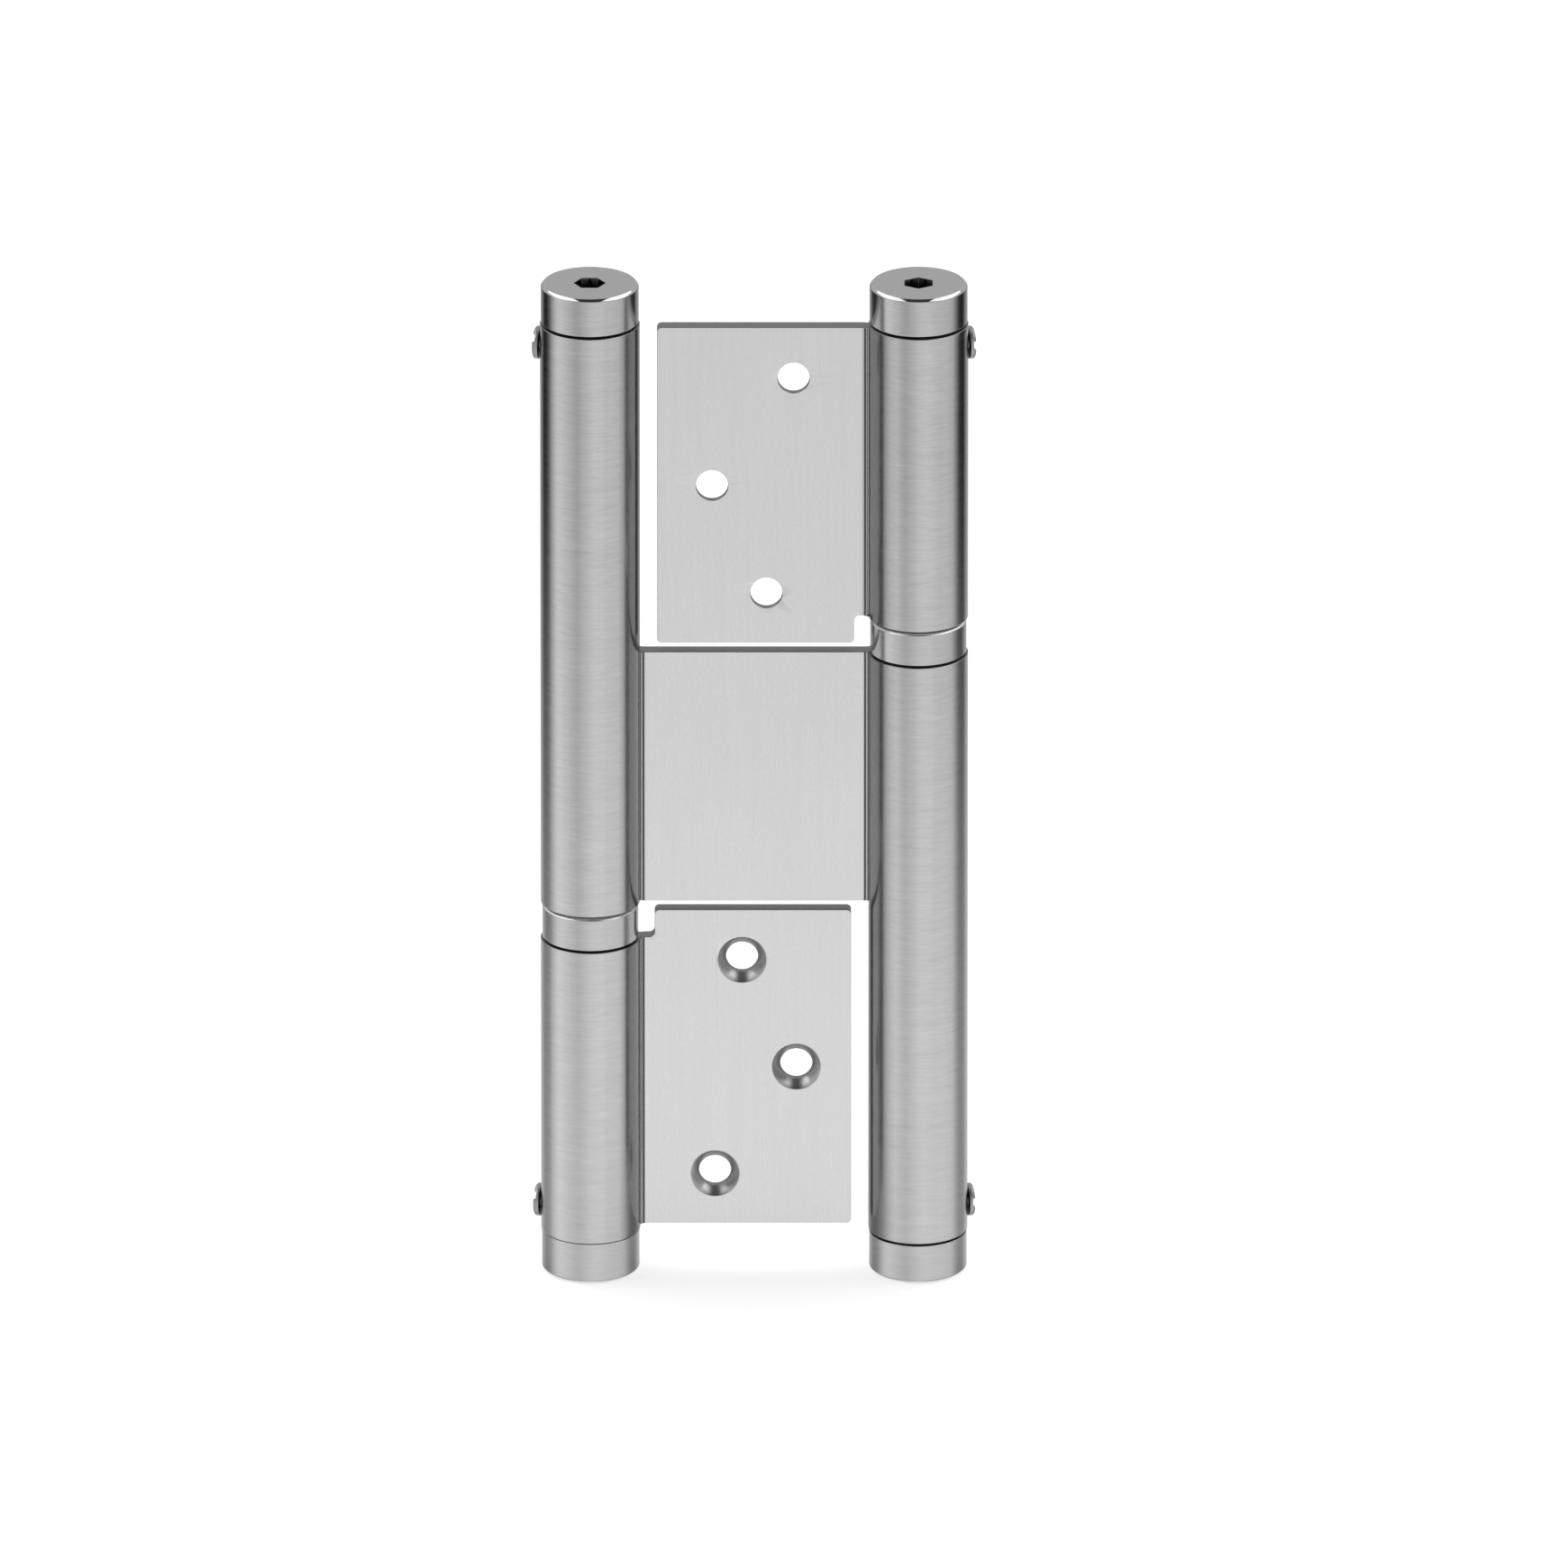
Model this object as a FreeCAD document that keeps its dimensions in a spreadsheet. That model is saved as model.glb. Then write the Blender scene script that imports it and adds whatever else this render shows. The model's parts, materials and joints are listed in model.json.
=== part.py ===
import FreeCAD, Part
import math
import os

import Sketcher
from FreeCAD import Vector

# A double action spring hinge. Its two barrels stand side by side. The middle leaf joins them, the
# frame leaf turns on the right barrel and the door leaf turns on the left one.
# Origin: on the ground between the barrels. +Z runs up along the barrels, +X to the right barrel
# and -Y to the front. All sizes are in millimetres and degrees.

# Driving sizes, each with the cell name that the model is bound to
SIZES = {
    # Whole hinge
    "overall_height": 190.0,
    "axis_spacing": 59.2,
    # Rolled sheet
    "barrel_diameter": 18.0,
    "sheet_thickness": 3.0,
    "plate_offset": 1.0,
    "bend_radius": 3.0,
    "seam_gap": 0.35,
    # Screw leaves
    "short_knuckle_length": 56.3,
    "leaf_edge_gap": 3.1,
    "leaf_setback": 0.8,
    "leaf_gap": 1.75,
    "leaf_corner_radius": 0.8,
    "notch_reach": 11.6,
    "notch_corner_radius": 1.0,
    # Screw holes in a leaf, measured from the barrel axis and along the leaf
    "hole_pitch": 20.7,
    "outer_hole_reach": 22.5,
    "middle_hole_reach": 37.2,
    "inner_hole_reach": 27.4,
    "screw_hole_diameter": 5.8,
    "countersink_diameter": 8.9,
    "countersink_angle": 90.0,
    # Bearing rings and bushes
    "ring_step": 0.3,
    "ring_height": 6.2,
    "ring_chamfer": 0.6,
    "flange_thickness": 0.4,
    "flange_step": 0.9,
    "bush_wall": 0.7,
    "bush_length": 12.0,
    "sleeve_wall": 0.65,
    "sleeve_length": 36.0,
    # End plugs
    "cap_step": 0.15,
    "cap_height": 7.35,
    "cap_gap": 0.3,
    "cap_chamfer": 0.9,
    "hex_across_flats": 5.0,
    "hex_depth": 4.5,
    "hex_bevel": 0.35,
    "hex_turn": 30.0,
    "spigot_length": 12.0,
    "spigot_chamfer": 0.5,
    "lock_groove_width": 3.6,
    "lock_groove_depth": 1.0,
    "spring_slot_depth": 4.0,
    # Locking screws
    "lock_screw_distance": 4.5,
    "lock_screw_angle": 12.0,
    "lock_screw_diameter": 2.9,
    "lock_screw_tip_chamfer": 0.4,
    "lock_head_diameter": 6.0,
    "lock_head_thickness": 1.25,
    "lock_head_chamfer": 0.3,
    "lock_head_standoff": 0.5,
    "driver_slot_width": 1.6,
    "driver_slot_depth": 0.5,
    "left_screw_turn": 128.0,
    "right_screw_turn": 85.0,
    # Torsion springs of flat strip
    "spring_strip_thickness": 1.5,
    "spring_strip_width": 4.0,
    "spring_turns": 12.0,
    "spring_clearance": 0.25,
    # Clearances
    "press_clearance": 0.02,
    "running_clearance": 0.05,
    "slot_clearance": 0.15,
    "tip_clearance": 0.25,
}

# Sizes worked out from the driving ones, as expressions over the sheet
BARREL_RADIUS = "(sizes.barrel_diameter / 2)"
BORE_RADIUS = "(sizes.barrel_diameter / 2 - sizes.sheet_thickness)"
BEND_CENTRE_RADIUS = "((sizes.barrel_diameter - sizes.sheet_thickness) / 2 + sizes.bend_radius)"
SEAM_REACH = "(sizes.bend_radius + sizes.sheet_thickness / 2 + sizes.seam_gap)"
CAP_TOTAL = "(sizes.cap_height + sizes.cap_gap)"
RING_ZONE = "(sizes.ring_height + 2 * sizes.flange_thickness)"
SHORT_TOP = f"({CAP_TOTAL} + sizes.short_knuckle_length)"
LONG_LENGTH = f"(sizes.overall_height - {CAP_TOTAL} - {SHORT_TOP} - {RING_ZONE})"
PLATE_HEIGHT = f"(sizes.overall_height - 2 * ({SHORT_TOP} + {RING_ZONE}))"
LEAF_REACH = f"(sizes.axis_spacing - {BARREL_RADIUS} - sizes.leaf_edge_gap)"
LEAF_INNER_END = f"(sizes.leaf_gap - {RING_ZONE})"
LEAF_OUTER_END = "(sizes.short_knuckle_length - sizes.leaf_setback)"
BUSH_BORE_RADIUS = f"({BORE_RADIUS} - sizes.bush_wall)"
SLEEVE_RADIUS = f"({BUSH_BORE_RADIUS} - sizes.running_clearance)"
SPRING_RADIUS = f"({SLEEVE_RADIUS} - sizes.sleeve_wall - sizes.spring_clearance)"
SPIGOT_RADIUS = f"({BORE_RADIUS} - sizes.running_clearance)"
PLUG_LENGTH = f"({CAP_TOTAL} + sizes.spigot_length)"
LOCK_SCREW_LEVEL = f"({CAP_TOTAL} + sizes.lock_screw_distance)"
LOCK_HOLE_RADIUS = "(sizes.lock_screw_diameter / 2 + sizes.running_clearance)"
HEAD_SEAT_REACH = f"({BARREL_RADIUS} + sizes.lock_head_standoff)"
SHANK_LENGTH = f"({HEAD_SEAT_REACH} - {SPIGOT_RADIUS} + sizes.lock_groove_depth - sizes.tip_clearance)"
LEFT_AXIS = "(-sizes.axis_spacing / 2)"
RIGHT_AXIS = "(sizes.axis_spacing / 2)"

ORIGIN_POINT = (-1, 1)

doc = FreeCAD.newDocument("double_action_hinge")


def make_sheet():
    """Put every driving size in a cell of its own and name the cell."""
    sheet = doc.addObject("Spreadsheet::Sheet", "sizes")
    for row, (alias, size) in enumerate(SIZES.items(), start=1):
        sheet.set(f"A{row}", alias)
        sheet.set(f"B{row}", str(size))
        sheet.setAlias(f"B{row}", alias)
    doc.recompute()


def value(expression):
    """The present value of an expression over the sheet."""
    return float(doc.sizes.evalExpression(expression.replace("sizes.", "")))


def placement(x="0", y="0", z="0", turn="rotationz(0)"):
    """The expression of a placement: a turn and then a shift."""
    return f"placement(vector({x}; {y}; {z}); {turn})"


# Sketch helpers


def new_sketch(body, name, plane_role, offset=None):
    """A sketch on one of the body's own origin planes, moved or turned by an expression."""
    planes = {feature.Role: feature for feature in body.Origin.OriginFeatures}
    sketch = body.newObject("Sketcher::SketchObject", name)
    sketch.AttachmentSupport = (planes[plane_role], "")
    sketch.MapMode = "FlatFace"
    if offset:
        sketch.setExpression("AttachmentOffset", offset)
    return sketch


def constrain(sketch, kind, *references, size=None):
    """Add one constraint. A size is an expression that the constraint follows."""
    if size is None:
        sketch.addConstraint(Sketcher.Constraint(kind, *references))
        return
    index = sketch.addConstraint(Sketcher.Constraint(kind, *references, value(size)))
    name = f"{kind}_{index}"
    sketch.renameConstraint(index, name)
    sketch.setExpression(f"Constraints.{name}", size)


def polar(radius, angle):
    """The point at a radius and an angle about the sketch's origin."""
    return (radius * math.cos(angle), radius * math.sin(angle))


def draw_line(sketch, start, end, construction=False):
    """A straight sketch edge between two points."""
    return sketch.addGeometry(Part.LineSegment(Vector(*start, 0), Vector(*end, 0)), construction)


def draw_arc(sketch, centre, radius, start_angle, end_angle):
    """A sketch arc that runs counter-clockwise, with its angles in radians."""
    circle = Part.Circle(Vector(*centre, 0), Vector(0, 0, 1), radius)
    return sketch.addGeometry(Part.ArcOfCircle(circle, start_angle, end_angle), False)


def draw_circle(sketch, x, y, radius):
    """A full circle with its centre and radius tied to the sheet."""
    circle = Part.Circle(Vector(value(x), value(y), 0), Vector(0, 0, 1), value(radius))
    index = sketch.addGeometry(circle, False)
    constrain(sketch, "Radius", index, size=radius)
    constrain(sketch, "DistanceX", *ORIGIN_POINT, index, 3, size=x)
    constrain(sketch, "DistanceY", *ORIGIN_POINT, index, 3, size=y)


def draw_polygon(sketch, corners):
    """A closed outline of straight edges, with every corner tied to the sheet."""
    points = [(value(x), value(y)) for x, y in corners]
    count = len(points)
    lines = [draw_line(sketch, points[n], points[(n + 1) % count]) for n in range(count)]
    for n, line in enumerate(lines):
        constrain(sketch, "Coincident", lines[n - 1], 2, line, 1)
    for line, (x, y) in zip(lines, corners):
        constrain(sketch, "DistanceX", *ORIGIN_POINT, line, 1, size=x)
        constrain(sketch, "DistanceY", *ORIGIN_POINT, line, 1, size=y)


def draw_rounded_outline(sketch, corners):
    """A closed outline of level and upright edges. A corner is x, y and a radius or None."""
    points = [(value(x), value(y)) for x, y, _ in corners]
    radii = [value(radius) if radius else 0 for _, _, radius in corners]
    count = len(points)

    def unit(start, end):
        length = math.dist(start, end)
        return ((end[0] - start[0]) / length, (end[1] - start[1]) / length)

    lines = []
    for n in range(count):
        after = (n + 1) % count
        along = unit(points[n], points[after])
        start = [points[n][axis] + along[axis] * radii[n] for axis in range(2)]
        end = [points[after][axis] - along[axis] * radii[after] for axis in range(2)]
        lines.append(draw_line(sketch, start, end))
        if along[0]:
            constrain(sketch, "Horizontal", lines[n])
            constrain(sketch, "DistanceY", *ORIGIN_POINT, lines[n], 1, size=corners[n][1])
        else:
            constrain(sketch, "Vertical", lines[n])
            constrain(sketch, "DistanceX", *ORIGIN_POINT, lines[n], 1, size=corners[n][0])
    for n in range(count):
        if not radii[n]:
            constrain(sketch, "Coincident", lines[n - 1], 2, lines[n], 1)
            continue
        into = unit(points[n - 1], points[n])
        out = unit(points[n], points[(n + 1) % count])
        centre = [points[n][axis] + (out[axis] - into[axis]) * radii[n] for axis in range(2)]
        left_turn = into[0] * out[1] - into[1] * out[0] > 0
        first = math.atan2(-out[1], -out[0]) if left_turn else math.atan2(into[1], into[0])
        arc = draw_arc(sketch, centre, radii[n], first, first + math.pi / 2)
        entry, leaving = (1, 2) if left_turn else (2, 1)
        constrain(sketch, "Tangent", lines[n - 1], 2, arc, entry)
        constrain(sketch, "Tangent", arc, leaving, lines[n], 1)
        constrain(sketch, "Radius", arc, size=corners[n][2])


def draw_curl(sketch, plate_offset):
    """The round of a knuckle rolled from sheet, about the sketch's origin, as far as its end face.

    The bend that leads into it is centred up and to the right. The end face stops short of the
    bend's outside by the seam gap. Returns the two arcs, whose starts are still free, the line to
    the bend's centre, and the angles of the bend and of the end face.
    """
    outer = value(BARREL_RADIUS)
    inner = value(BORE_RADIUS)
    reach = value(BEND_CENTRE_RADIUS)
    seam_reach = value(SEAM_REACH)
    centre_y = value(plate_offset) + value("sizes.bend_radius")
    bend = math.asin(centre_y / reach)
    opening = math.acos((outer**2 + reach**2 - seam_reach**2) / (2 * outer * reach))
    end = bend - opening + 2 * math.pi
    outer_arc = draw_arc(sketch, (0, 0), outer, bend, end)
    inner_arc = draw_arc(sketch, (0, 0), inner, bend, end)
    end_face = draw_line(sketch, polar(outer, end), polar(inner, end))
    to_bend = draw_line(sketch, (0, 0), polar(reach, bend), construction=True)
    for arc in (outer_arc, inner_arc):
        constrain(sketch, "Coincident", arc, 3, *ORIGIN_POINT)
    constrain(sketch, "Radius", outer_arc, size=BARREL_RADIUS)
    constrain(sketch, "Radius", inner_arc, size=BORE_RADIUS)
    constrain(sketch, "Coincident", end_face, 1, outer_arc, 2)
    constrain(sketch, "Coincident", end_face, 2, inner_arc, 2)
    constrain(sketch, "PointOnObject", *ORIGIN_POINT, end_face)
    constrain(sketch, "Coincident", to_bend, 1, *ORIGIN_POINT)
    constrain(sketch, "Distance", to_bend, size=BEND_CENTRE_RADIUS)
    constrain(sketch, "DistanceY", *ORIGIN_POINT, to_bend, 2, size=f"{plate_offset} + sizes.bend_radius")
    constrain(sketch, "Distance", outer_arc, 2, to_bend, 2, size=SEAM_REACH)
    return outer_arc, inner_arc, to_bend, bend, end


def draw_rolled_section(sketch, plate_offset):
    """The section where the plate runs into the knuckle: the plate's end, the bend and the round."""
    outer_arc, inner_arc, to_bend, bend, _ = draw_curl(sketch, plate_offset)
    concave = value("sizes.bend_radius - sizes.sheet_thickness / 2")
    convex = value("sizes.bend_radius + sizes.sheet_thickness / 2")
    centre = polar(value(BEND_CENTRE_RADIUS), bend)
    constrain(sketch, "PointOnObject", outer_arc, 1, to_bend)
    constrain(sketch, "PointOnObject", inner_arc, 1, to_bend)
    concave_arc = draw_arc(sketch, centre, concave, bend + math.pi, 1.5 * math.pi)
    convex_arc = draw_arc(sketch, centre, convex, bend + math.pi, 1.5 * math.pi)
    plate_face = draw_line(sketch, (centre[0], centre[1] - concave), (centre[0], centre[1] - convex))
    for arc in (concave_arc, convex_arc):
        constrain(sketch, "Coincident", arc, 3, to_bend, 2)
    constrain(sketch, "Coincident", concave_arc, 1, outer_arc, 1)
    constrain(sketch, "Coincident", convex_arc, 1, inner_arc, 1)
    constrain(sketch, "Coincident", plate_face, 1, concave_arc, 2)
    constrain(sketch, "Coincident", plate_face, 2, convex_arc, 2)
    constrain(sketch, "Vertical", plate_face)
    constrain(sketch, "Vertical", to_bend, 2, concave_arc, 2)


def draw_tube_section(sketch, plate_offset):
    """The section beyond the plate: a round tube with a narrow seam in line with the end face."""
    outer_arc, inner_arc, _, _, end = draw_curl(sketch, plate_offset)
    start = end - 2 * math.pi + value("sizes.seam_gap") / value(BARREL_RADIUS)
    start_face = draw_line(sketch, polar(value(BARREL_RADIUS), start), polar(value(BORE_RADIUS), start))
    constrain(sketch, "Coincident", start_face, 1, outer_arc, 1)
    constrain(sketch, "Coincident", start_face, 2, inner_arc, 1)
    constrain(sketch, "PointOnObject", *ORIGIN_POINT, start_face)
    constrain(sketch, "Distance", outer_arc, 1, outer_arc, 2, size="sizes.seam_gap")


# Feature helpers


def add_pad(body, name, sketch, length, midplane=False):
    """Add the sketch's area to the body as a prism."""
    pad = body.newObject("PartDesign::Pad", name)
    pad.Profile = sketch
    pad.Midplane = midplane
    pad.setExpression("Length", length)
    doc.recompute()
    return pad


def add_pocket(body, name, sketch, length):
    """Cut a prism out of the body, against the sketch's own direction."""
    before = body.Shape.Volume
    pocket = body.newObject("PartDesign::Pocket", name)
    pocket.Profile = sketch
    pocket.setExpression("Length", length)
    doc.recompute()
    if body.Shape.Volume >= before:
        raise RuntimeError(f"{name} cuts nothing")
    return pocket


def add_turned(body, name, corners):
    """A solid turned about the body's Z axis from corners of radius and height."""
    sketch = new_sketch(body, f"{name}_section", "XZ_Plane")
    draw_polygon(sketch, corners)
    turned = body.newObject("PartDesign::Revolution", name)
    turned.Profile = sketch
    turned.ReferenceAxis = (sketch, ["V_Axis"])
    turned.Angle = 360
    doc.recompute()
    return turned


def add_centred_bar(body, name, level, length, width):
    """A sketch of a rectangle centred on the body's Z axis, at a level above its origin."""
    sketch = new_sketch(body, name, "XY_Plane", placement(z=level))
    half_length = f"({length} / 2)"
    half_width = f"({width} / 2)"
    corners = []
    for sign_x, sign_y in (("-", "-"), ("", "-"), ("", ""), ("-", "")):
        corners.append((f"{sign_x}{half_length}", f"{sign_y}{half_width}"))
    draw_polygon(sketch, corners)
    return sketch


def new_body(label):
    """A body whose label names the sub-part and its file."""
    body = doc.addObject("PartDesign::Body", label)
    body.Label = label
    return body


def place(body, x, z, turn="rotationz(0)", y="0"):
    """Set a finished body in the hinge, by expressions."""
    body.setExpression("Placement", placement(x, y, z, turn))


# Leaves


def add_lock_hole(body, axis_x, level, angle):
    """The hole through the outer wall of a knuckle that takes a locking screw."""
    offset = placement(z=axis_x, turn=f"rotationy({angle})")
    sketch = new_sketch(body, "lock_hole_circle", "YZ_Plane", offset)
    draw_circle(sketch, "0", level, LOCK_HOLE_RADIUS)
    return add_pocket(body, "lock_hole", sketch, HEAD_SEAT_REACH)


def add_screw_holes(body, countersunk_face):
    """Three countersunk holes through a leaf. The face is -1 for local -Y and 1 for local +Y."""
    face_level = f"(sizes.plate_offset - {countersunk_face} * sizes.sheet_thickness / 2)"
    sketch = new_sketch(body, "screw_hole_circles", "XZ_Plane", placement(z=face_level))
    middle = f"(({LEAF_INNER_END} + {LEAF_OUTER_END}) / 2)"
    radius = "(sizes.screw_hole_diameter / 2)"
    draw_circle(sketch, "sizes.outer_hole_reach", f"{middle} + sizes.hole_pitch", radius)
    draw_circle(sketch, "sizes.middle_hole_reach", middle, radius)
    draw_circle(sketch, "sizes.inner_hole_reach", f"{middle} - sizes.hole_pitch", radius)
    doc.recompute()
    before = body.Shape.Volume
    hole = body.newObject("PartDesign::Hole", "screw_holes")
    hole.Profile = sketch
    hole.DepthType = "ThroughAll"
    hole.Reversed = countersunk_face > 0
    hole.HoleCutType = "Countersink"
    hole.HoleCutCustomValues = True
    hole.setExpression("Diameter", "sizes.screw_hole_diameter")
    hole.setExpression("HoleCutDiameter", "sizes.countersink_diameter")
    hole.setExpression("HoleCutCountersinkAngle", "sizes.countersink_angle")
    doc.recompute()
    if body.Shape.Volume >= before:
        raise RuntimeError("the screw holes cut nothing")


def make_screw_leaf(label, countersunk_face):
    """One leaf that is screwed on: a plate rolled into a short knuckle.

    Its own frame has the barrel axis on Z, the plate towards +X and the ring end at zero.
    """
    body = new_body(label)
    offset = "(-sizes.plate_offset)"
    bend_level = f"({offset} + sizes.bend_radius)"
    plate_start = f"sqrt(pow({BEND_CENTRE_RADIUS}; 2) - pow({bend_level}; 2))"
    outline = new_sketch(body, "plate_outline", "XZ_Plane", placement(z="sizes.plate_offset"))
    draw_rounded_outline(
        outline,
        [
            (plate_start, "0", None),
            ("sizes.notch_reach", "0", "sizes.notch_corner_radius"),
            ("sizes.notch_reach", LEAF_INNER_END, "sizes.leaf_corner_radius"),
            (LEAF_REACH, LEAF_INNER_END, "sizes.leaf_corner_radius"),
            (LEAF_REACH, LEAF_OUTER_END, "sizes.leaf_corner_radius"),
            (plate_start, LEAF_OUTER_END, None),
        ],
    )
    add_pad(body, "plate", outline, "sizes.sheet_thickness", midplane=True)
    root = new_sketch(body, "root_section", "XY_Plane")
    draw_rolled_section(root, offset)
    add_pad(body, "rolled_root", root, LEAF_OUTER_END)
    lip = new_sketch(body, "lip_section", "XY_Plane", placement(z=LEAF_OUTER_END))
    draw_tube_section(lip, offset)
    add_pad(body, "knuckle_lip", lip, "sizes.leaf_setback")
    level = "(sizes.short_knuckle_length - sizes.lock_screw_distance)"
    add_lock_hole(body, "0", level, "sizes.lock_screw_angle")
    add_screw_holes(body, countersunk_face)
    return body


def make_middle_leaf():
    """The middle leaf: one sheet rolled into a long knuckle at each side, alike by a half turn.

    Its own frame has its origin in the middle of the plate.
    """
    body = new_body("middle_leaf")
    bend_level = "(sizes.plate_offset + sizes.bend_radius)"
    bend_reach = f"sqrt(pow({BEND_CENTRE_RADIUS}; 2) - pow({bend_level}; 2))"
    half_width = f"(sizes.axis_spacing / 2 - {bend_reach})"
    half_height = f"({PLATE_HEIGHT} / 2)"
    outline = new_sketch(body, "plate_outline", "XZ_Plane", placement(z="-sizes.plate_offset"))
    draw_rounded_outline(
        outline,
        [
            (f"-{half_width}", f"-{half_height}", None),
            (half_width, f"-{half_height}", None),
            (half_width, half_height, None),
            (f"-{half_width}", half_height, None),
        ],
    )
    add_pad(body, "plate", outline, "sizes.sheet_thickness", midplane=True)
    root = new_sketch(body, "root_section", "XY_Plane", placement(LEFT_AXIS, "0", f"-{half_height}"))
    draw_rolled_section(root, "sizes.plate_offset")
    rolled_root = add_pad(body, "rolled_root", root, PLATE_HEIGHT)
    tube = new_sketch(body, "tube_section", "XY_Plane", placement(LEFT_AXIS, "0", half_height))
    draw_tube_section(tube, "sizes.plate_offset")
    knuckle = add_pad(body, "long_knuckle", tube, f"{LONG_LENGTH} - {PLATE_HEIGHT}")
    level = f"(sizes.overall_height / 2 - {LOCK_SCREW_LEVEL})"
    lock_hole = add_lock_hole(body, LEFT_AXIS, level, "-sizes.lock_screw_angle")
    axes = {feature.Role: feature for feature in body.Origin.OriginFeatures}
    pattern = body.newObject("PartDesign::PolarPattern", "both_sides")
    pattern.Originals = [rolled_root, knuckle, lock_hole]
    pattern.Axis = (axes["Y_Axis"], [""])
    pattern.Angle = 360
    pattern.Occurrences = 2
    body.Tip = pattern
    doc.recompute()
    place(body, "0", "sizes.overall_height / 2")
    return body


# Turned parts


def make_plug(label):
    """An end plug, cap down: chamfered cap, hex socket, lock groove and a slot for the spring."""
    body = new_body(label)
    cap_radius = f"({BARREL_RADIUS} - sizes.cap_step)"
    groove_radius = f"({SPIGOT_RADIUS} - sizes.lock_groove_depth)"
    groove_low = f"({LOCK_SCREW_LEVEL} - sizes.lock_groove_width / 2)"
    groove_high = f"({LOCK_SCREW_LEVEL} + sizes.lock_groove_width / 2)"
    add_turned(
        body,
        "turned_blank",
        [
            ("0", "0"),
            (f"{cap_radius} - sizes.cap_chamfer", "0"),
            (cap_radius, "sizes.cap_chamfer"),
            (cap_radius, "sizes.cap_height"),
            (SPIGOT_RADIUS, "sizes.cap_height"),
            (SPIGOT_RADIUS, groove_low),
            (groove_radius, groove_low),
            (groove_radius, groove_high),
            (SPIGOT_RADIUS, groove_high),
            (SPIGOT_RADIUS, f"{PLUG_LENGTH} - sizes.spigot_chamfer"),
            (f"{SPIGOT_RADIUS} - sizes.spigot_chamfer", PLUG_LENGTH),
            ("0", PLUG_LENGTH),
        ],
    )
    hexagon = new_sketch(body, "hex_outline", "XY_Plane", placement(turn="rotationx(180)"))
    corner_radius = "(sizes.hex_across_flats / sqrt(3))"
    corners = []
    for turn in range(0, 360, 60):
        corners.append((f"{corner_radius} * cos({turn})", f"{corner_radius} * sin({turn})"))
    draw_polygon(hexagon, corners)
    add_pocket(body, "hex_socket", hexagon, "sizes.hex_depth")
    bevel = new_sketch(body, "bevel_section", "XZ_Plane")
    mouth = f"({corner_radius} + sizes.hex_bevel)"
    draw_polygon(bevel, [("0", "0"), (mouth, "0"), ("0", mouth)])
    before = body.Shape.Volume
    groove = body.newObject("PartDesign::Groove", "socket_bevel")
    groove.Profile = bevel
    groove.ReferenceAxis = (bevel, ["V_Axis"])
    groove.Angle = 360
    doc.recompute()
    if body.Shape.Volume >= before:
        raise RuntimeError("the socket bevel cuts nothing")
    slot_width = "(sizes.spring_strip_thickness + 2 * sizes.slot_clearance)"
    slot = add_centred_bar(body, "slot_outline", PLUG_LENGTH, "sizes.barrel_diameter", slot_width)
    add_pocket(body, "spring_slot", slot, "sizes.spring_slot_depth")
    return body


def make_lock_screw(label):
    """A slotted screw with its head up: the underside of the head is at zero."""
    body = new_body(label)
    head_radius = "(sizes.lock_head_diameter / 2)"
    shank_radius = "(sizes.lock_screw_diameter / 2)"
    tip_radius = f"{shank_radius} - sizes.lock_screw_tip_chamfer"
    add_turned(
        body,
        "turned_blank",
        [
            ("0", f"-{SHANK_LENGTH}"),
            (tip_radius, f"-{SHANK_LENGTH}"),
            (shank_radius, f"sizes.lock_screw_tip_chamfer - {SHANK_LENGTH}"),
            (shank_radius, "0"),
            (head_radius, "0"),
            (head_radius, "sizes.lock_head_thickness - sizes.lock_head_chamfer"),
            (f"{head_radius} - sizes.lock_head_chamfer", "sizes.lock_head_thickness"),
            ("0", "sizes.lock_head_thickness"),
        ],
    )
    slot = add_centred_bar(
        body, "slot_outline", "sizes.lock_head_thickness", "2 * sizes.lock_head_diameter",
        "sizes.driver_slot_width",
    )
    add_pocket(body, "driver_slot", slot, "sizes.driver_slot_depth")
    return body


def make_bush(label):
    """A flanged bush, flange up: the tube hangs from zero into its knuckle."""
    body = new_body(label)
    tube_radius = f"({BORE_RADIUS} - sizes.press_clearance)"
    flange_radius = f"({BARREL_RADIUS} - sizes.flange_step)"
    add_turned(
        body,
        "turned_blank",
        [
            (BUSH_BORE_RADIUS, "-sizes.bush_length"),
            (tube_radius, "-sizes.bush_length"),
            (tube_radius, "0"),
            (flange_radius, "0"),
            (flange_radius, "sizes.flange_thickness"),
            (BUSH_BORE_RADIUS, "sizes.flange_thickness"),
        ],
    )
    return body


def make_ring(label):
    """A bearing ring with both outer edges chamfered, standing on zero."""
    body = new_body(label)
    bore = f"({SLEEVE_RADIUS} + sizes.running_clearance)"
    radius = f"({BARREL_RADIUS} - sizes.ring_step)"
    add_turned(
        body,
        "turned_blank",
        [
            (bore, "0"),
            (f"{radius} - sizes.ring_chamfer", "0"),
            (radius, "sizes.ring_chamfer"),
            (radius, "sizes.ring_height - sizes.ring_chamfer"),
            (f"{radius} - sizes.ring_chamfer", "sizes.ring_height"),
            (bore, "sizes.ring_height"),
        ],
    )
    return body


def make_sleeve(label):
    """A hollow pivot sleeve, centred on zero."""
    body = new_body(label)
    inner = f"({SLEEVE_RADIUS} - sizes.sleeve_wall)"
    half = "(sizes.sleeve_length / 2)"
    add_turned(
        body,
        "turned_blank",
        [(inner, f"-{half}"), (SLEEVE_RADIUS, f"-{half}"), (SLEEVE_RADIUS, half), (inner, half)],
    )
    return body


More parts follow.
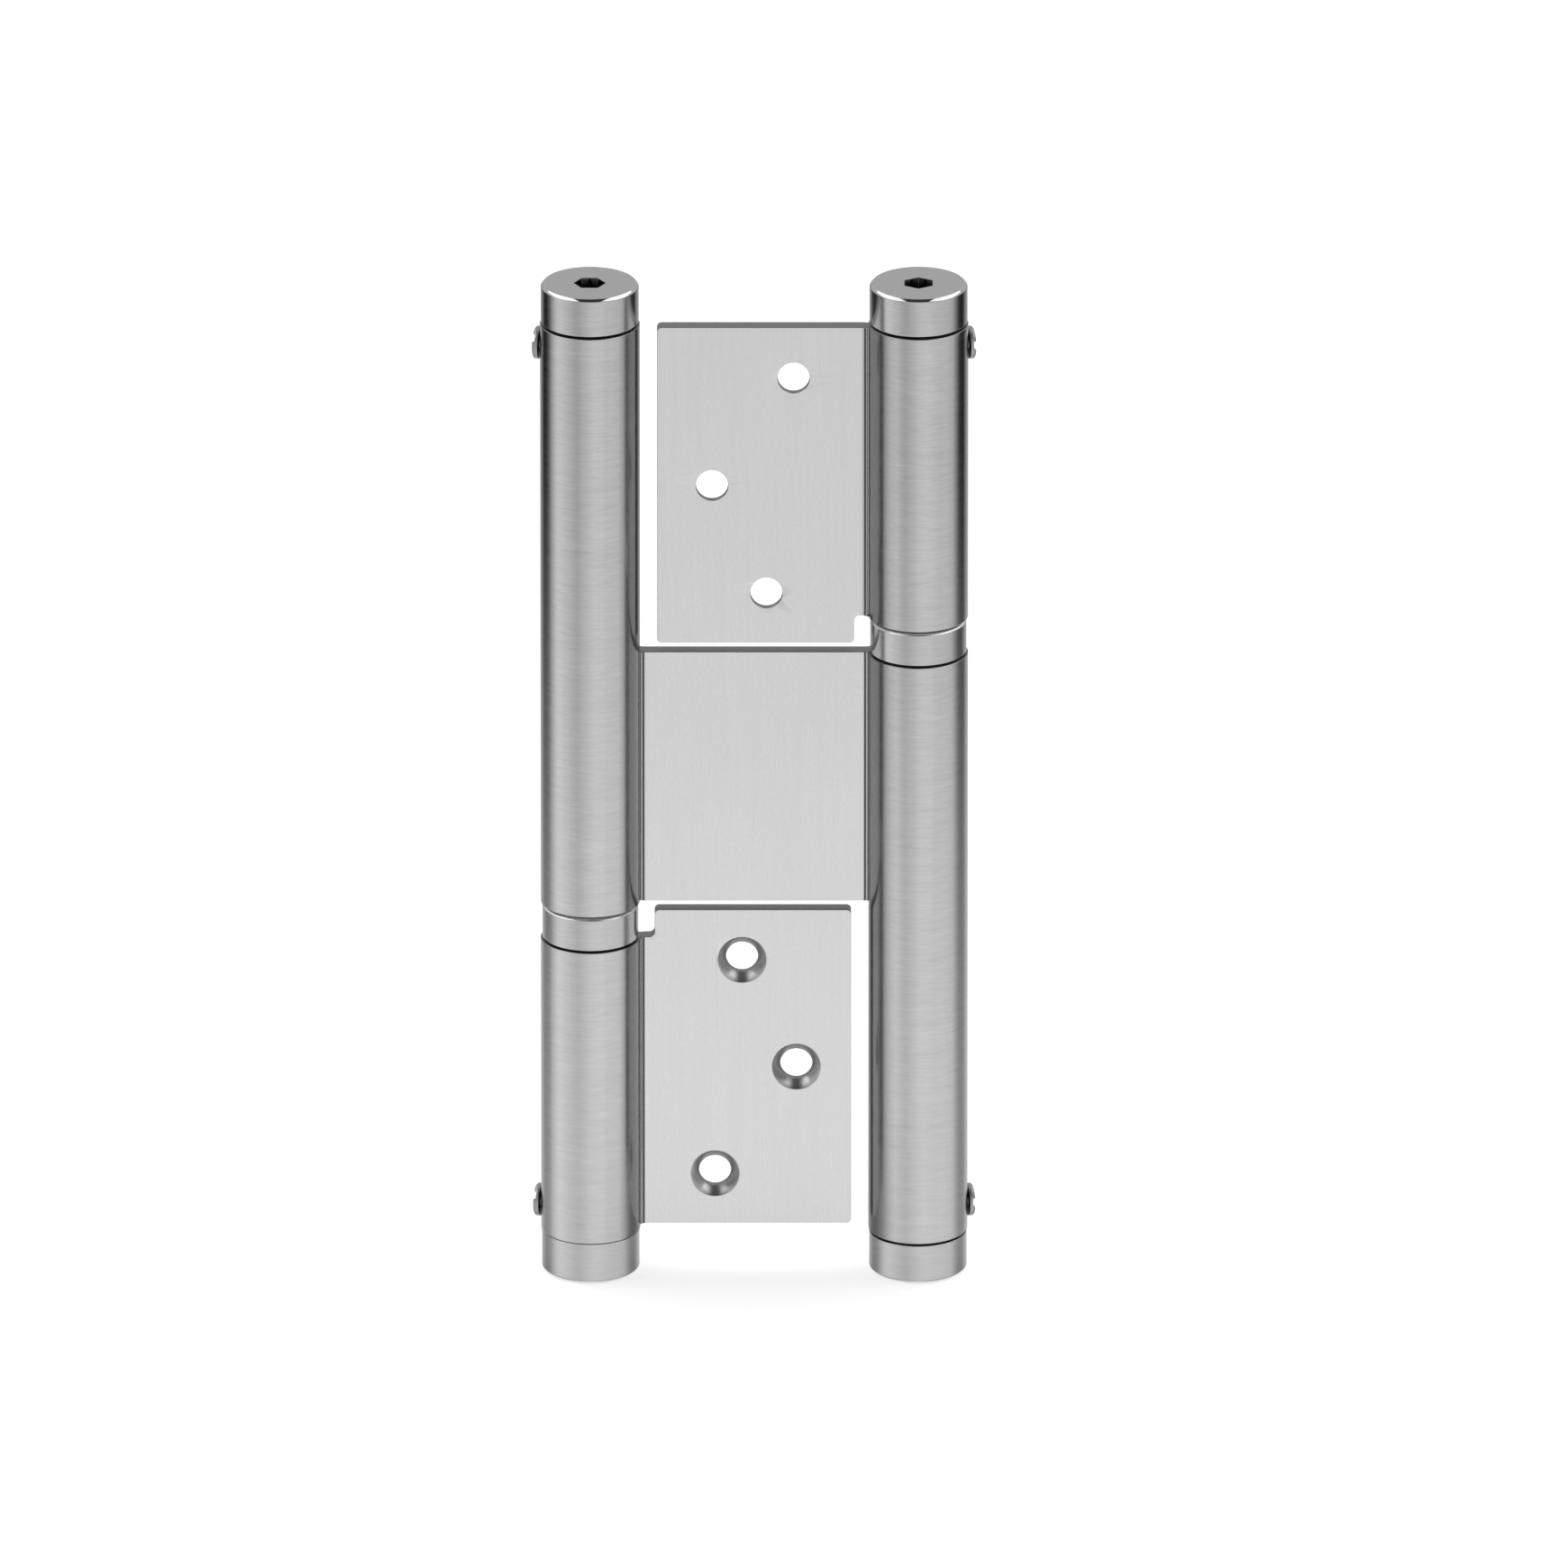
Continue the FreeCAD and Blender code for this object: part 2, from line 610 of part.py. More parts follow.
def make_spring(label):
    """A torsion spring of flat strip, its lowest turn at zero, with a cross blade at both ends.

    A blade ends in the middle of the strip, so that its faces never lie in the strip's own.
    """
    body = new_body(label)
    inner = f"({SPRING_RADIUS} - sizes.spring_strip_thickness)"
    coil_length = f"(sizes.overall_height - 2 * {PLUG_LENGTH} - 2 * sizes.slot_clearance)"
    section = new_sketch(body, "strip_section", "XZ_Plane")
    draw_polygon(
        section,
        [
            (inner, "0"),
            (SPRING_RADIUS, "0"),
            (SPRING_RADIUS, "sizes.spring_strip_width"),
            (inner, "sizes.spring_strip_width"),
        ],
    )
    coil = body.newObject("PartDesign::AdditiveHelix", "coil")
    coil.Profile = section
    coil.ReferenceAxis = (section, ["V_Axis"])
    coil.Mode = "height-turns-growth"
    coil.setExpression("Height", f"{coil_length} - sizes.spring_strip_width")
    coil.setExpression("Turns", "sizes.spring_turns")
    doc.recompute()
    blade_depth = "(sizes.spring_slot_depth - sizes.slot_clearance)"
    blade_height = f"({blade_depth} + sizes.spring_strip_width / 2)"
    blade_width = f"(2 * {SPRING_RADIUS} - sizes.spring_strip_thickness)"
    upper_start = f"({coil_length} - sizes.spring_strip_width / 2)"
    for name, level in (("lower_blade", f"-{blade_depth}"), ("upper_blade", upper_start)):
        blade = add_centred_bar(
            body, f"{name}_outline", level, blade_width, "sizes.spring_strip_thickness"
        )
        add_pad(body, name, blade, blade_height)
    return body


# The two barrels


def fill_barrel(side, axis_x, turn, long_end):
    """Make what one barrel holds. The long end, top or bottom, is where its long knuckle is."""
    lower_mouth = SHORT_TOP if long_end == "top" else f"{CAP_TOTAL} + {LONG_LENGTH}"
    upper_mouth = f"{lower_mouth} + {RING_ZONE}"
    made = [make_plug(f"{side}_bottom_plug"), make_plug(f"{side}_top_plug")]
    place(made[0], axis_x, "0", f"rotationz({turn})")
    place(made[1], axis_x, "sizes.overall_height", f"rotationz({turn}) * rotationx(180)")
    outward = "180 - sizes.lock_screw_angle" if side == "left" else "sizes.lock_screw_angle"
    sign = "-" if side == "left" else ""
    head_x = f"{axis_x} + {sign}{HEAD_SEAT_REACH} * cos(sizes.lock_screw_angle)"
    head_y = f"{HEAD_SEAT_REACH} * sin(sizes.lock_screw_angle)"
    for end in ("bottom", "top"):
        level = LOCK_SCREW_LEVEL if end == "bottom" else f"sizes.overall_height - {LOCK_SCREW_LEVEL}"
        screw = make_lock_screw(f"{side}_{end}_screw")
        head_turn = f"rotationz({outward}) * rotationy(90) * rotationz(sizes.{side}_screw_turn)"
        place(screw, head_x, level, head_turn, head_y)
        made.append(screw)
    lower_bush = make_bush(f"{side}_lower_bush")
    place(lower_bush, axis_x, lower_mouth)
    upper_bush = make_bush(f"{side}_upper_bush")
    place(upper_bush, axis_x, upper_mouth, "rotationx(180)")
    ring = make_ring(f"{side}_ring")
    place(ring, axis_x, f"{lower_mouth} + sizes.flange_thickness")
    sleeve = make_sleeve(f"{side}_sleeve")
    place(sleeve, axis_x, f"({lower_mouth} + {upper_mouth}) / 2")
    spring = make_spring(f"{side}_spring")
    place(spring, axis_x, f"{PLUG_LENGTH} + sizes.slot_clearance", f"rotationz({turn})")
    return made + [lower_bush, upper_bush, ring, sleeve, spring]


def make_hinge():
    """Make and place every sub-part."""
    make_sheet()
    frame_leaf = make_screw_leaf("frame_leaf", -1)
    place(frame_leaf, RIGHT_AXIS, f"sizes.overall_height - {SHORT_TOP}", "rotationz(180)")
    door_leaf = make_screw_leaf("door_leaf", 1)
    place(door_leaf, LEFT_AXIS, SHORT_TOP, "rotationx(180)")
    pieces = [frame_leaf, make_middle_leaf(), door_leaf]
    pieces += fill_barrel("left", LEFT_AXIS, "0", "top")
    pieces += fill_barrel("right", RIGHT_AXIS, "sizes.hex_turn", "bottom")
    doc.recompute()
    return pieces


def check(pieces):
    """Stop before anything is written if an object failed or a solid is not sound."""
    for item in doc.Objects:
        if "Invalid" in item.State or "Error" in item.State:
            raise RuntimeError(f"{item.Label} failed: {item.State}")
    for piece in pieces:
        shape = piece.Shape
        if shape.isNull() or not shape.isValid() or len(shape.Solids) != 1:
            raise RuntimeError(f"{piece.Label} is not one sound solid")


def write(pieces):
    """Write each sub-part to a file of its own name."""
    os.makedirs("parts", exist_ok=True)
    for piece in pieces:
        piece.Shape.exportStep(f"parts/{piece.Label}.step")
        print(f"{piece.Label}: {piece.Shape.Volume:.1f} mm3")


PIECES = make_hinge()
check(PIECES)
write(PIECES)
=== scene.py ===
"""The looks of a double action spring hinge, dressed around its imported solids.

The frame is the part's own: +Z up along the barrels, +X to the right barrel, -Y to the front.
Each piece is shaped in millimetres about its own axis and set in place, in metres, at the end.
"""

from __future__ import annotations

import json
import logging
import math
from dataclasses import dataclass, field
from enum import Enum
from typing import Any, Callable, Sequence

import bmesh
import bpy
from mathutils import Matrix, Vector


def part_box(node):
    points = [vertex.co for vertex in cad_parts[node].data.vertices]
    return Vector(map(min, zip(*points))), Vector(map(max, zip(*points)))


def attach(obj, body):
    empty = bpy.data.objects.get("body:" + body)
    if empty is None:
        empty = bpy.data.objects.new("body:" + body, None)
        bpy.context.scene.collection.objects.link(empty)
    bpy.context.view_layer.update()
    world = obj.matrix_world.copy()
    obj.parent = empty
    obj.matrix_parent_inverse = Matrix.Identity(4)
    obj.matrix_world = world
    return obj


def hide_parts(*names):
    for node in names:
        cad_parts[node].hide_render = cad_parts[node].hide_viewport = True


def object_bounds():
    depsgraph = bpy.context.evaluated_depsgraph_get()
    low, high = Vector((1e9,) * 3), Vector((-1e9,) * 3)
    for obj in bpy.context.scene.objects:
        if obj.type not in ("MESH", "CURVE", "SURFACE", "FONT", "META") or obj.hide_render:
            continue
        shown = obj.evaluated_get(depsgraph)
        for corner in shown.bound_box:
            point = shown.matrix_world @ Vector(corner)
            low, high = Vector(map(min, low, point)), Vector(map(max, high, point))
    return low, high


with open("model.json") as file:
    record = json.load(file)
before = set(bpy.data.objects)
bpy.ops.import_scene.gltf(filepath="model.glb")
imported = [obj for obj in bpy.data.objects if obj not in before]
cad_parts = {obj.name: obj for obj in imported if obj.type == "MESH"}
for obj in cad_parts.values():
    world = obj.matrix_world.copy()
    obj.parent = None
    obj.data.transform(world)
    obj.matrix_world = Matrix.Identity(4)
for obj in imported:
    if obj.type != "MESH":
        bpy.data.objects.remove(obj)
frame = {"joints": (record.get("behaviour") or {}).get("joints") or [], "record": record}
CAD_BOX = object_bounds()

MM = 0.001
FULL_TURN = 2 * math.pi
RIGHT_ANGLE = math.pi / 2
ORIGIN = Vector((0, 0, 0))
X_AXIS = Vector((1, 0, 0))
Z_AXIS = Vector((0, 0, 1))

MERGED = 1e-4  # Points this close become one, in millimetres.
NEAR = 0.01  # Places this close are taken for the same, in millimetres.
OVERCUT = 1.0  # How far a cutting tool stands out of what it cuts, in millimetres.
ALONG = 0.9  # The least part of an axis in a normal that points along it.
ACROSS = 0.1  # The most part of an axis in a normal that points across it.

log = logging.getLogger("hinge")

Marks = tuple[float, float]
Profile = Sequence[tuple[float, float]]
Element = bmesh.types.BMVert | bmesh.types.BMEdge | bmesh.types.BMFace


class Slot(Enum):
    """The record's material slots."""

    LEAF = "leaf_steel"
    PLUG = "plug_steel"
    RING = "ring_steel"
    SCREW = "screw_steel"
    INNER = "inner_steel"
    SPRING = "spring_steel"
    BUSH = "bush_plastic"


class Side(Enum):
    """The two barrels, by the sign of their place along X."""

    LEFT = -1
    RIGHT = 1

    @property
    def word(self) -> str:
        """The side's name as the nodes spell it."""
        return self.name.lower()

    @property
    def axis(self) -> float:
        """Where the barrel's axis lies along X, in millimetres."""
        return self.value * Shared.AXIS_REACH


class End(Enum):
    """The two ends of a barrel."""

    BOTTOM = "bottom"
    TOP = "top"


class Shared:
    """What more than one sub-assembly needs: the nodes' bodies, and sizes in millimetres and radians."""

    BODY_OF: dict[str, str] = {
        node: body for body, nodes in frame["record"]["behaviour"]["bodies"].items() for node in nodes
    }
    AXIS_REACH: float = max(joint["pos_m"][0] for joint in frame["joints"]) / MM
    BARREL_RADIUS: float = 9.0
    SHEET: float = 3.0
    BORE_RADIUS: float = BARREL_RADIUS - SHEET
    RUNNING_CLEARANCE: float = 0.05
    FLANGE: float = 0.4
    CAP_HEIGHT: float = 7.35
    CAP_GAP: float = 0.3
    LOCK_DISTANCE: float = 4.5
    LOCK_ANGLE: float = math.radians(12)
    SLOT_TURNS: dict[Side, float] = {Side.LEFT: 0.0, Side.RIGHT: math.radians(30)}


# Helpers


def moved_by(x: float = 0.0, z: float = 0.0) -> Matrix:
    """A move along X and Z."""
    return Matrix.Translation((x, 0, z))


def turned_by(angle: float, axis: str) -> Matrix:
    """A turn about one of the axes."""
    return Matrix.Rotation(angle, 4, axis)


def levels(node: str) -> tuple[float, float]:
    """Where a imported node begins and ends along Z, in millimetres."""
    low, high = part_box(node)
    return low.z / MM, high.z / MM


def add_object(name: str, data: bpy.types.ID) -> bpy.types.Object:
    """An object of the scene, with a name and a mesh, lamp or camera as its data."""
    item = bpy.data.objects.new(name, data)
    bpy.context.scene.collection.objects.link(item)
    return item


# Mesh bench


class Workpiece:
    """A mesh on the bench, in millimetres, that mesh operators shape."""

    CORNER_STEPS: int = 6

    def __init__(self) -> None:
        """Start with an empty mesh."""
        self.mesh = bmesh.new()

    @classmethod
    def turned(cls, profile: Profile, segments: int) -> Workpiece:
        """Turn a profile about Z.

        Args:
            profile: Corners of radius and height. Where the first is off the axis, the piece is a
                tube and the last corner joins the first.
            segments: Steps of the full turn.

        Returns:
            The turned solid.
        """
        piece = cls()
        corners = [piece.mesh.verts.new((radius, 0, height)) for radius, height in profile]
        edges = [piece.mesh.edges.new(pair) for pair in zip(corners, corners[1:])]
        if profile[0][0] > 0:
            edges.append(piece.mesh.edges.new((corners[-1], corners[0])))
        bmesh.ops.spin(
            piece.mesh, geom=corners + edges, cent=ORIGIN, axis=Z_AXIS, angle=FULL_TURN, steps=segments,
            use_merge=True,
        )
        piece.close_up()
        return piece

    @classmethod
    def prism(cls, sides: int, corner_radius: float, low: float, high: float) -> Workpiece:
        """A regular prism about Z, with a corner on +X.

        Args:
            sides: How many sides it has.
            corner_radius: How far its corners lie from the axis.
            low: Where it begins.
            high: Where it ends.

        Returns:
            The prism.
        """
        piece = cls()
        bmesh.ops.create_cone(
            piece.mesh, cap_ends=True, segments=sides, radius1=corner_radius, radius2=corner_radius,
            depth=high - low,
        )
        first = max(piece.mesh.verts, key=lambda vert: vert.co.x).co
        turn = turned_by(-math.atan2(first.y, first.x), "Z")
        return piece.moved(moved_by(z=(high + low) / 2) @ turn)

    @classmethod
    def bar(cls, size: Vector, centre: Vector) -> Workpiece:
        """A plain bar of a given size about its centre, with its edges along the axes."""
        piece = cls()
        bmesh.ops.create_cube(piece.mesh, size=1.0)
        return piece.moved(Matrix.Translation(centre) @ Matrix.Diagonal((*size, 1)))

    def close_up(self) -> None:
        """Merge the points that a spin or a mirror leaves double, and turn every face outwards."""
        bmesh.ops.remove_doubles(self.mesh, verts=self.mesh.verts, dist=MERGED)
        bmesh.ops.recalc_face_normals(self.mesh, faces=self.mesh.faces)

    def sweep(
        self, shape: Sequence[Element], centre: Vector, angle: float, steps: int, drift: Vector = ORIGIN
    ) -> list[Element]:
        """Carry edges or faces round an upright axis, along a line, or both.

        Args:
            shape: The faces, edges and points to carry.
            centre: A point of the axis.
            angle: The turn in radians, counter-clockwise seen from above.
            steps: How many steps the turn has.
            drift: How far the shape moves on in all.

        Returns:
            The last copy of the shape.
        """
        swept = bmesh.ops.spin(
            self.mesh, geom=list(shape), cent=centre, axis=Z_AXIS, angle=angle, steps=steps,
            dvec=drift / steps,
        )
        return swept["geom_last"]

    def extrude_faces(self, faces: Sequence[bmesh.types.BMFace], shift: Vector, keep: bool = False) -> None:
        """Draw out a patch of faces, with walls along its border.

        Args:
            faces: The patch.
            shift: How far it is drawn out.
            keep: Whether the patch also stays where it was, as the bottom of a flat sheet does.
        """
        patch = list(faces)
        drawn = bmesh.ops.extrude_face_region(self.mesh, geom=patch)["geom"]
        points = [item for item in drawn if isinstance(item, bmesh.types.BMVert)]
        bmesh.ops.translate(self.mesh, verts=points, vec=shift)
        if not keep:
            bmesh.ops.delete(self.mesh, geom=patch, context="FACES")

    def pick_faces(self, test: Callable[[Vector, Vector], bool]) -> list[bmesh.types.BMFace]:
        """The faces whose centre and normal pass a test."""
        self.mesh.normal_update()
        return [face for face in self.mesh.faces if test(face.calc_center_median(), face.normal)]

    def round_corner(self, x: float, z: float, radius: float) -> None:
        """Round the edge that runs along Y at a place of the plate's outline.

        Args:
            x: The place along X.
            z: The place along Z.
            radius: The corner's radius.
        """
        corner = Vector((x, z))
        edges = [
            edge for edge in self.mesh.edges
            if all((vert.co.xz - corner).length < NEAR for vert in edge.verts)
        ]
        bmesh.ops.bevel(
            self.mesh, geom=edges, offset=radius, segments=self.CORNER_STEPS, affect="EDGES", profile=0.5,
            material=-1,
        )

    def as_mesh(self, name: str) -> bpy.types.Mesh:
        """A copy of the workpiece as mesh data of a given name."""
        data = bpy.data.meshes.new(name)
        self.mesh.to_mesh(data)
        return data

    def add(self, other: Workpiece) -> None:
        """Take a copy of another workpiece into this one."""
        spare = other.as_mesh("spare")
        self.mesh.from_mesh(spare)
        bpy.data.meshes.remove(spare)

    def score(self, place: Vector, across: Vector) -> None:
        """Score the mesh along a plane, so that a later cut there leaves even faces."""
        geom = [*self.mesh.verts, *self.mesh.edges, *self.mesh.faces]
        bmesh.ops.bisect_plane(self.mesh, geom=geom, plane_co=place, plane_no=across)

    def stack(self, count: int, shift: Vector) -> None:
        """Repeat the piece and join the copies where they meet.

        Args:
            count: How many there are in the end.
            shift: How much further on each copy lies.
        """
        one = self.as_mesh("one")
        for _ in range(count - 1):
            self.mesh.transform(Matrix.Translation(-shift))
            self.mesh.from_mesh(one)
        self.mesh.transform(Matrix.Translation(shift * (count - 1)))
        bpy.data.meshes.remove(one)
        self.close_up()

    def cut(self, tool: Workpiece) -> None:
        """Take a tool's solid out of this one.

        Args:
            tool: The solid to take out.
        """
        body, knife = (add_object("bench", piece.as_mesh("bench")) for piece in (self, tool))
        cutter = body.modifiers.new("cut", "BOOLEAN")
        cutter.operation = "DIFFERENCE"
        cutter.solver = "EXACT"
        cutter.object = knife
        bpy.context.view_layer.update()
        result = bpy.data.meshes.new_from_object(body.evaluated_get(bpy.context.evaluated_depsgraph_get()))
        self.mesh.clear()
        self.mesh.from_mesh(result)
        for data in (body.data, knife.data, result):
            bpy.data.meshes.remove(data)
        self.close_up()

    def cut_slot(self, width: float, depth: float, top: float, radius: float) -> None:
        """Cut a slot along X right across the top of a round piece."""
        size = Vector((2 * (radius + OVERCUT), width, 2 * depth))
        self.cut(Workpiece.bar(size, Z_AXIS * top))

    def moved(self, place: Matrix) -> Workpiece:
        """The workpiece itself, after a move or a turn on the bench."""
        self.mesh.transform(place)
        return self


@dataclass(frozen=True)
class EdgeBreak:
    """How far a piece's sharp edges are broken, in millimetres."""

    width: float
    segments: int = 2
    sharper_than: float = math.radians(30)

    def apply(self, item: bpy.types.Object) -> None:
        """Give an object its broken edges and even shading.

        Args:
            item: The object.
        """
        bevel = item.modifiers.new("broken_edges", "BEVEL")
        bevel.width = self.width * MM
        bevel.segments = self.segments
        bevel.limit_method = "ANGLE"
        bevel.angle_limit = self.sharper_than
        bevel.use_clamp_overlap = False
        triangles = item.modifiers.new("even_triangles", "TRIANGULATE")
        triangles.min_vertices = 5
        triangles.ngon_method = "BEAUTY"
        normals = item.modifiers.new("even_shading", "WEIGHTED_NORMAL")
        normals.keep_sharp = False


# Shader helpers


def on_wires(operation: str, swapped: bool = False) -> Callable[[Value, Value | float], Value]:
    """Make a Python operator that adds one Math node.

    Args:
        operation: The node's operation.
        swapped: Whether the other value comes first.

    Returns:
        The operator.
    """

    def operate(this: Value, other: Value | float) -> Value:
        """Join this value and another by the operation."""
        pair = (other, this) if swapped else (this, other)
        return this.graph.maths(operation, *pair)

    return operate


class Value:
    """A number on a shader's wire that is summed and scaled as a Python number is."""

    __add__ = __radd__ = on_wires("ADD")
    __sub__ = on_wires("SUBTRACT")
    __rsub__ = on_wires("SUBTRACT", swapped=True)
    __mul__ = __rmul__ = on_wires("MULTIPLY")
    __truediv__ = on_wires("DIVIDE")
    __pow__ = on_wires("POWER")
    larger = on_wires("MAXIMUM")

    def __init__(self, graph: Graph, socket: bpy.types.NodeSocket | None) -> None:
        """Hold a node's output, or none where the node has no output."""
        self.graph = graph
        self.socket = socket

    def __abs__(self) -> Value:
        """This value without its sign."""
        return self.graph.maths("ABSOLUTE", self)

    def other(self, name: str) -> Value:
        """Another output of the same node."""
        return Value(self.graph, self.socket.node.outputs[name])

    def step(self, marks: Marks, unit: float = 1.0) -> Value:
        """A smooth step from 0 at the first mark to 1 at the second, both in a unit."""
        low, high = (mark * unit for mark in marks)
        return self.graph.node(
            "MapRange",
            {"interpolation_type": "SMOOTHSTEP"},
            {"Value": self, "From Min": low, "From Max": high},
        )

    def blend(self, start: Value | float, end: Value | float) -> Value:
        """Run from one value to another as this one runs from 0 to 1."""
        return start + self * (end - start)

    def mixed(self, other: Value, share: float) -> Value:
        """This value with a share of another."""
        return self * (1 - share) + other * share

    def around(self, middle: float, spread: float) -> Value:
        """Run over a spread round a middle as this one runs from 0 to 1."""
        return middle + spread * (self - 0.5)


@dataclass(frozen=True)
class Grain:
    """A soft noise: its waves per millimetre along each axis, its finer layers and its shift."""

    per_mm: tuple[float, float, float]
    layers: float
    shift: float
    layer_share: float = 0.55


class Graph:
    """The nodes of one material or world."""

    def __init__(self, owner: bpy.types.Material | bpy.types.World) -> None:
        """Empty the nodes of a material or world."""
        owner.use_nodes = True
        self.tree = owner.node_tree
        self.tree.nodes.clear()

    def node(
        self,
        kind: str,
        settings: dict[str, Any] | None = None,
        inputs: dict[str | int, Any] | None = None,
        output: str | int = 0,
    ) -> Value:
        """Add one node.

        Args:
            kind: The node's type, without the word that all of them begin with.
            settings: Its own settings. "stops" are a ramp's places and values.
            inputs: What each socket holds: a number, a vector or a wire.
            output: The output to hand back.

        Returns:
            The wire from that output.
        """
        node = self.tree.nodes.new(f"ShaderNode{kind}")
        for name, setting in (settings or {}).items():
            if name == "stops":
                self.set_stops(node.color_ramp, setting)
            else:
                setattr(node, name, setting)
        for key, source in (inputs or {}).items():
            if isinstance(source, Value):
                self.tree.links.new(source.socket, node.inputs[key])
            else:
                node.inputs[key].default_value = source
        return Value(self, node.outputs[output] if node.outputs else None)

    @staticmethod
    def set_stops(ramp: bpy.types.ColorRamp, stops: dict[float, float]) -> None:
        """Fill a ramp with grey stops.

        Args:
            ramp: The ramp.
            stops: The greys by their places.
        """
        ramp.interpolation = "EASE"
        while len(ramp.elements) < len(stops):
            ramp.elements.new(1.0)
        for element, (position, grey) in zip(ramp.elements, sorted(stops.items())):
            element.position = position
            element.color = (grey, grey, grey, 1)

    def maths(self, operation: str, *values: Value | float) -> Value:
        """One Math node over one or two values."""
        return self.node("Math", {"operation": operation}, dict(enumerate(values)))

    def axes(self, vector: Value) -> tuple[Value, Value, Value]:
        """The three parts of a vector."""
        x = self.node("SeparateXYZ", inputs={"Vector": vector}, output="X")
        return x, x.other("Y"), x.other("Z")

    def noise(self, place: Value, grain: Grain) -> Value:
        """Soft noise between 0 and 1.

        Args:
            place: The place, in metres.
            grain: The kind of noise.

        Returns:
            The noise.
        """
        scale = [waves / MM for waves in grain.per_mm]
        shift = (grain.shift,) * 3
        placed = self.node("Mapping", inputs={"Vector": place, "Location": shift, "Scale": scale})
        inputs = {"Vector": placed, "Scale": 1.0, "Detail": grain.layers, "Roughness": grain.layer_share}
        return self.node("TexNoise", inputs=inputs)


@dataclass(frozen=True)
class Surface:
    """What a finish says of each point of a surface."""

    tone: Value
    roughness: Value
    height: Value


@dataclass(frozen=True)
class Finish:
    """What every finish has: a metal's or a plastic's body, and the depth of its grain in millimetres."""

    metallic: float = 1.0
    grain_depth: float = 0.002

    def surface(self, graph: Graph, place: Value, normal: Value) -> Surface:
        """Tone, roughness and height over the surface."""
        raise NotImplementedError

    def material(self, name: str) -> bpy.types.Material:
        """Build the material.

        Args:
            name: The material's name.

        Returns:
            The material, with its nodes.
        """
        material = bpy.data.materials.new(name)
        graph = Graph(material)
        place = graph.node("TexCoord", output="Object")
        surface = self.surface(graph, place, place.other("Normal"))
        relief = {"Strength": 1.0, "Distance": self.grain_depth * MM, "Height": surface.height}
        skin = {
            "Base Color": surface.tone,
            "Metallic": self.metallic,
            "Roughness": surface.roughness,
            "Normal": graph.node("Bump", inputs=relief),
        }
        shader = graph.node("BsdfPrincipled", inputs=skin)
        graph.node("OutputMaterial", inputs={"Surface": shader})
        return material


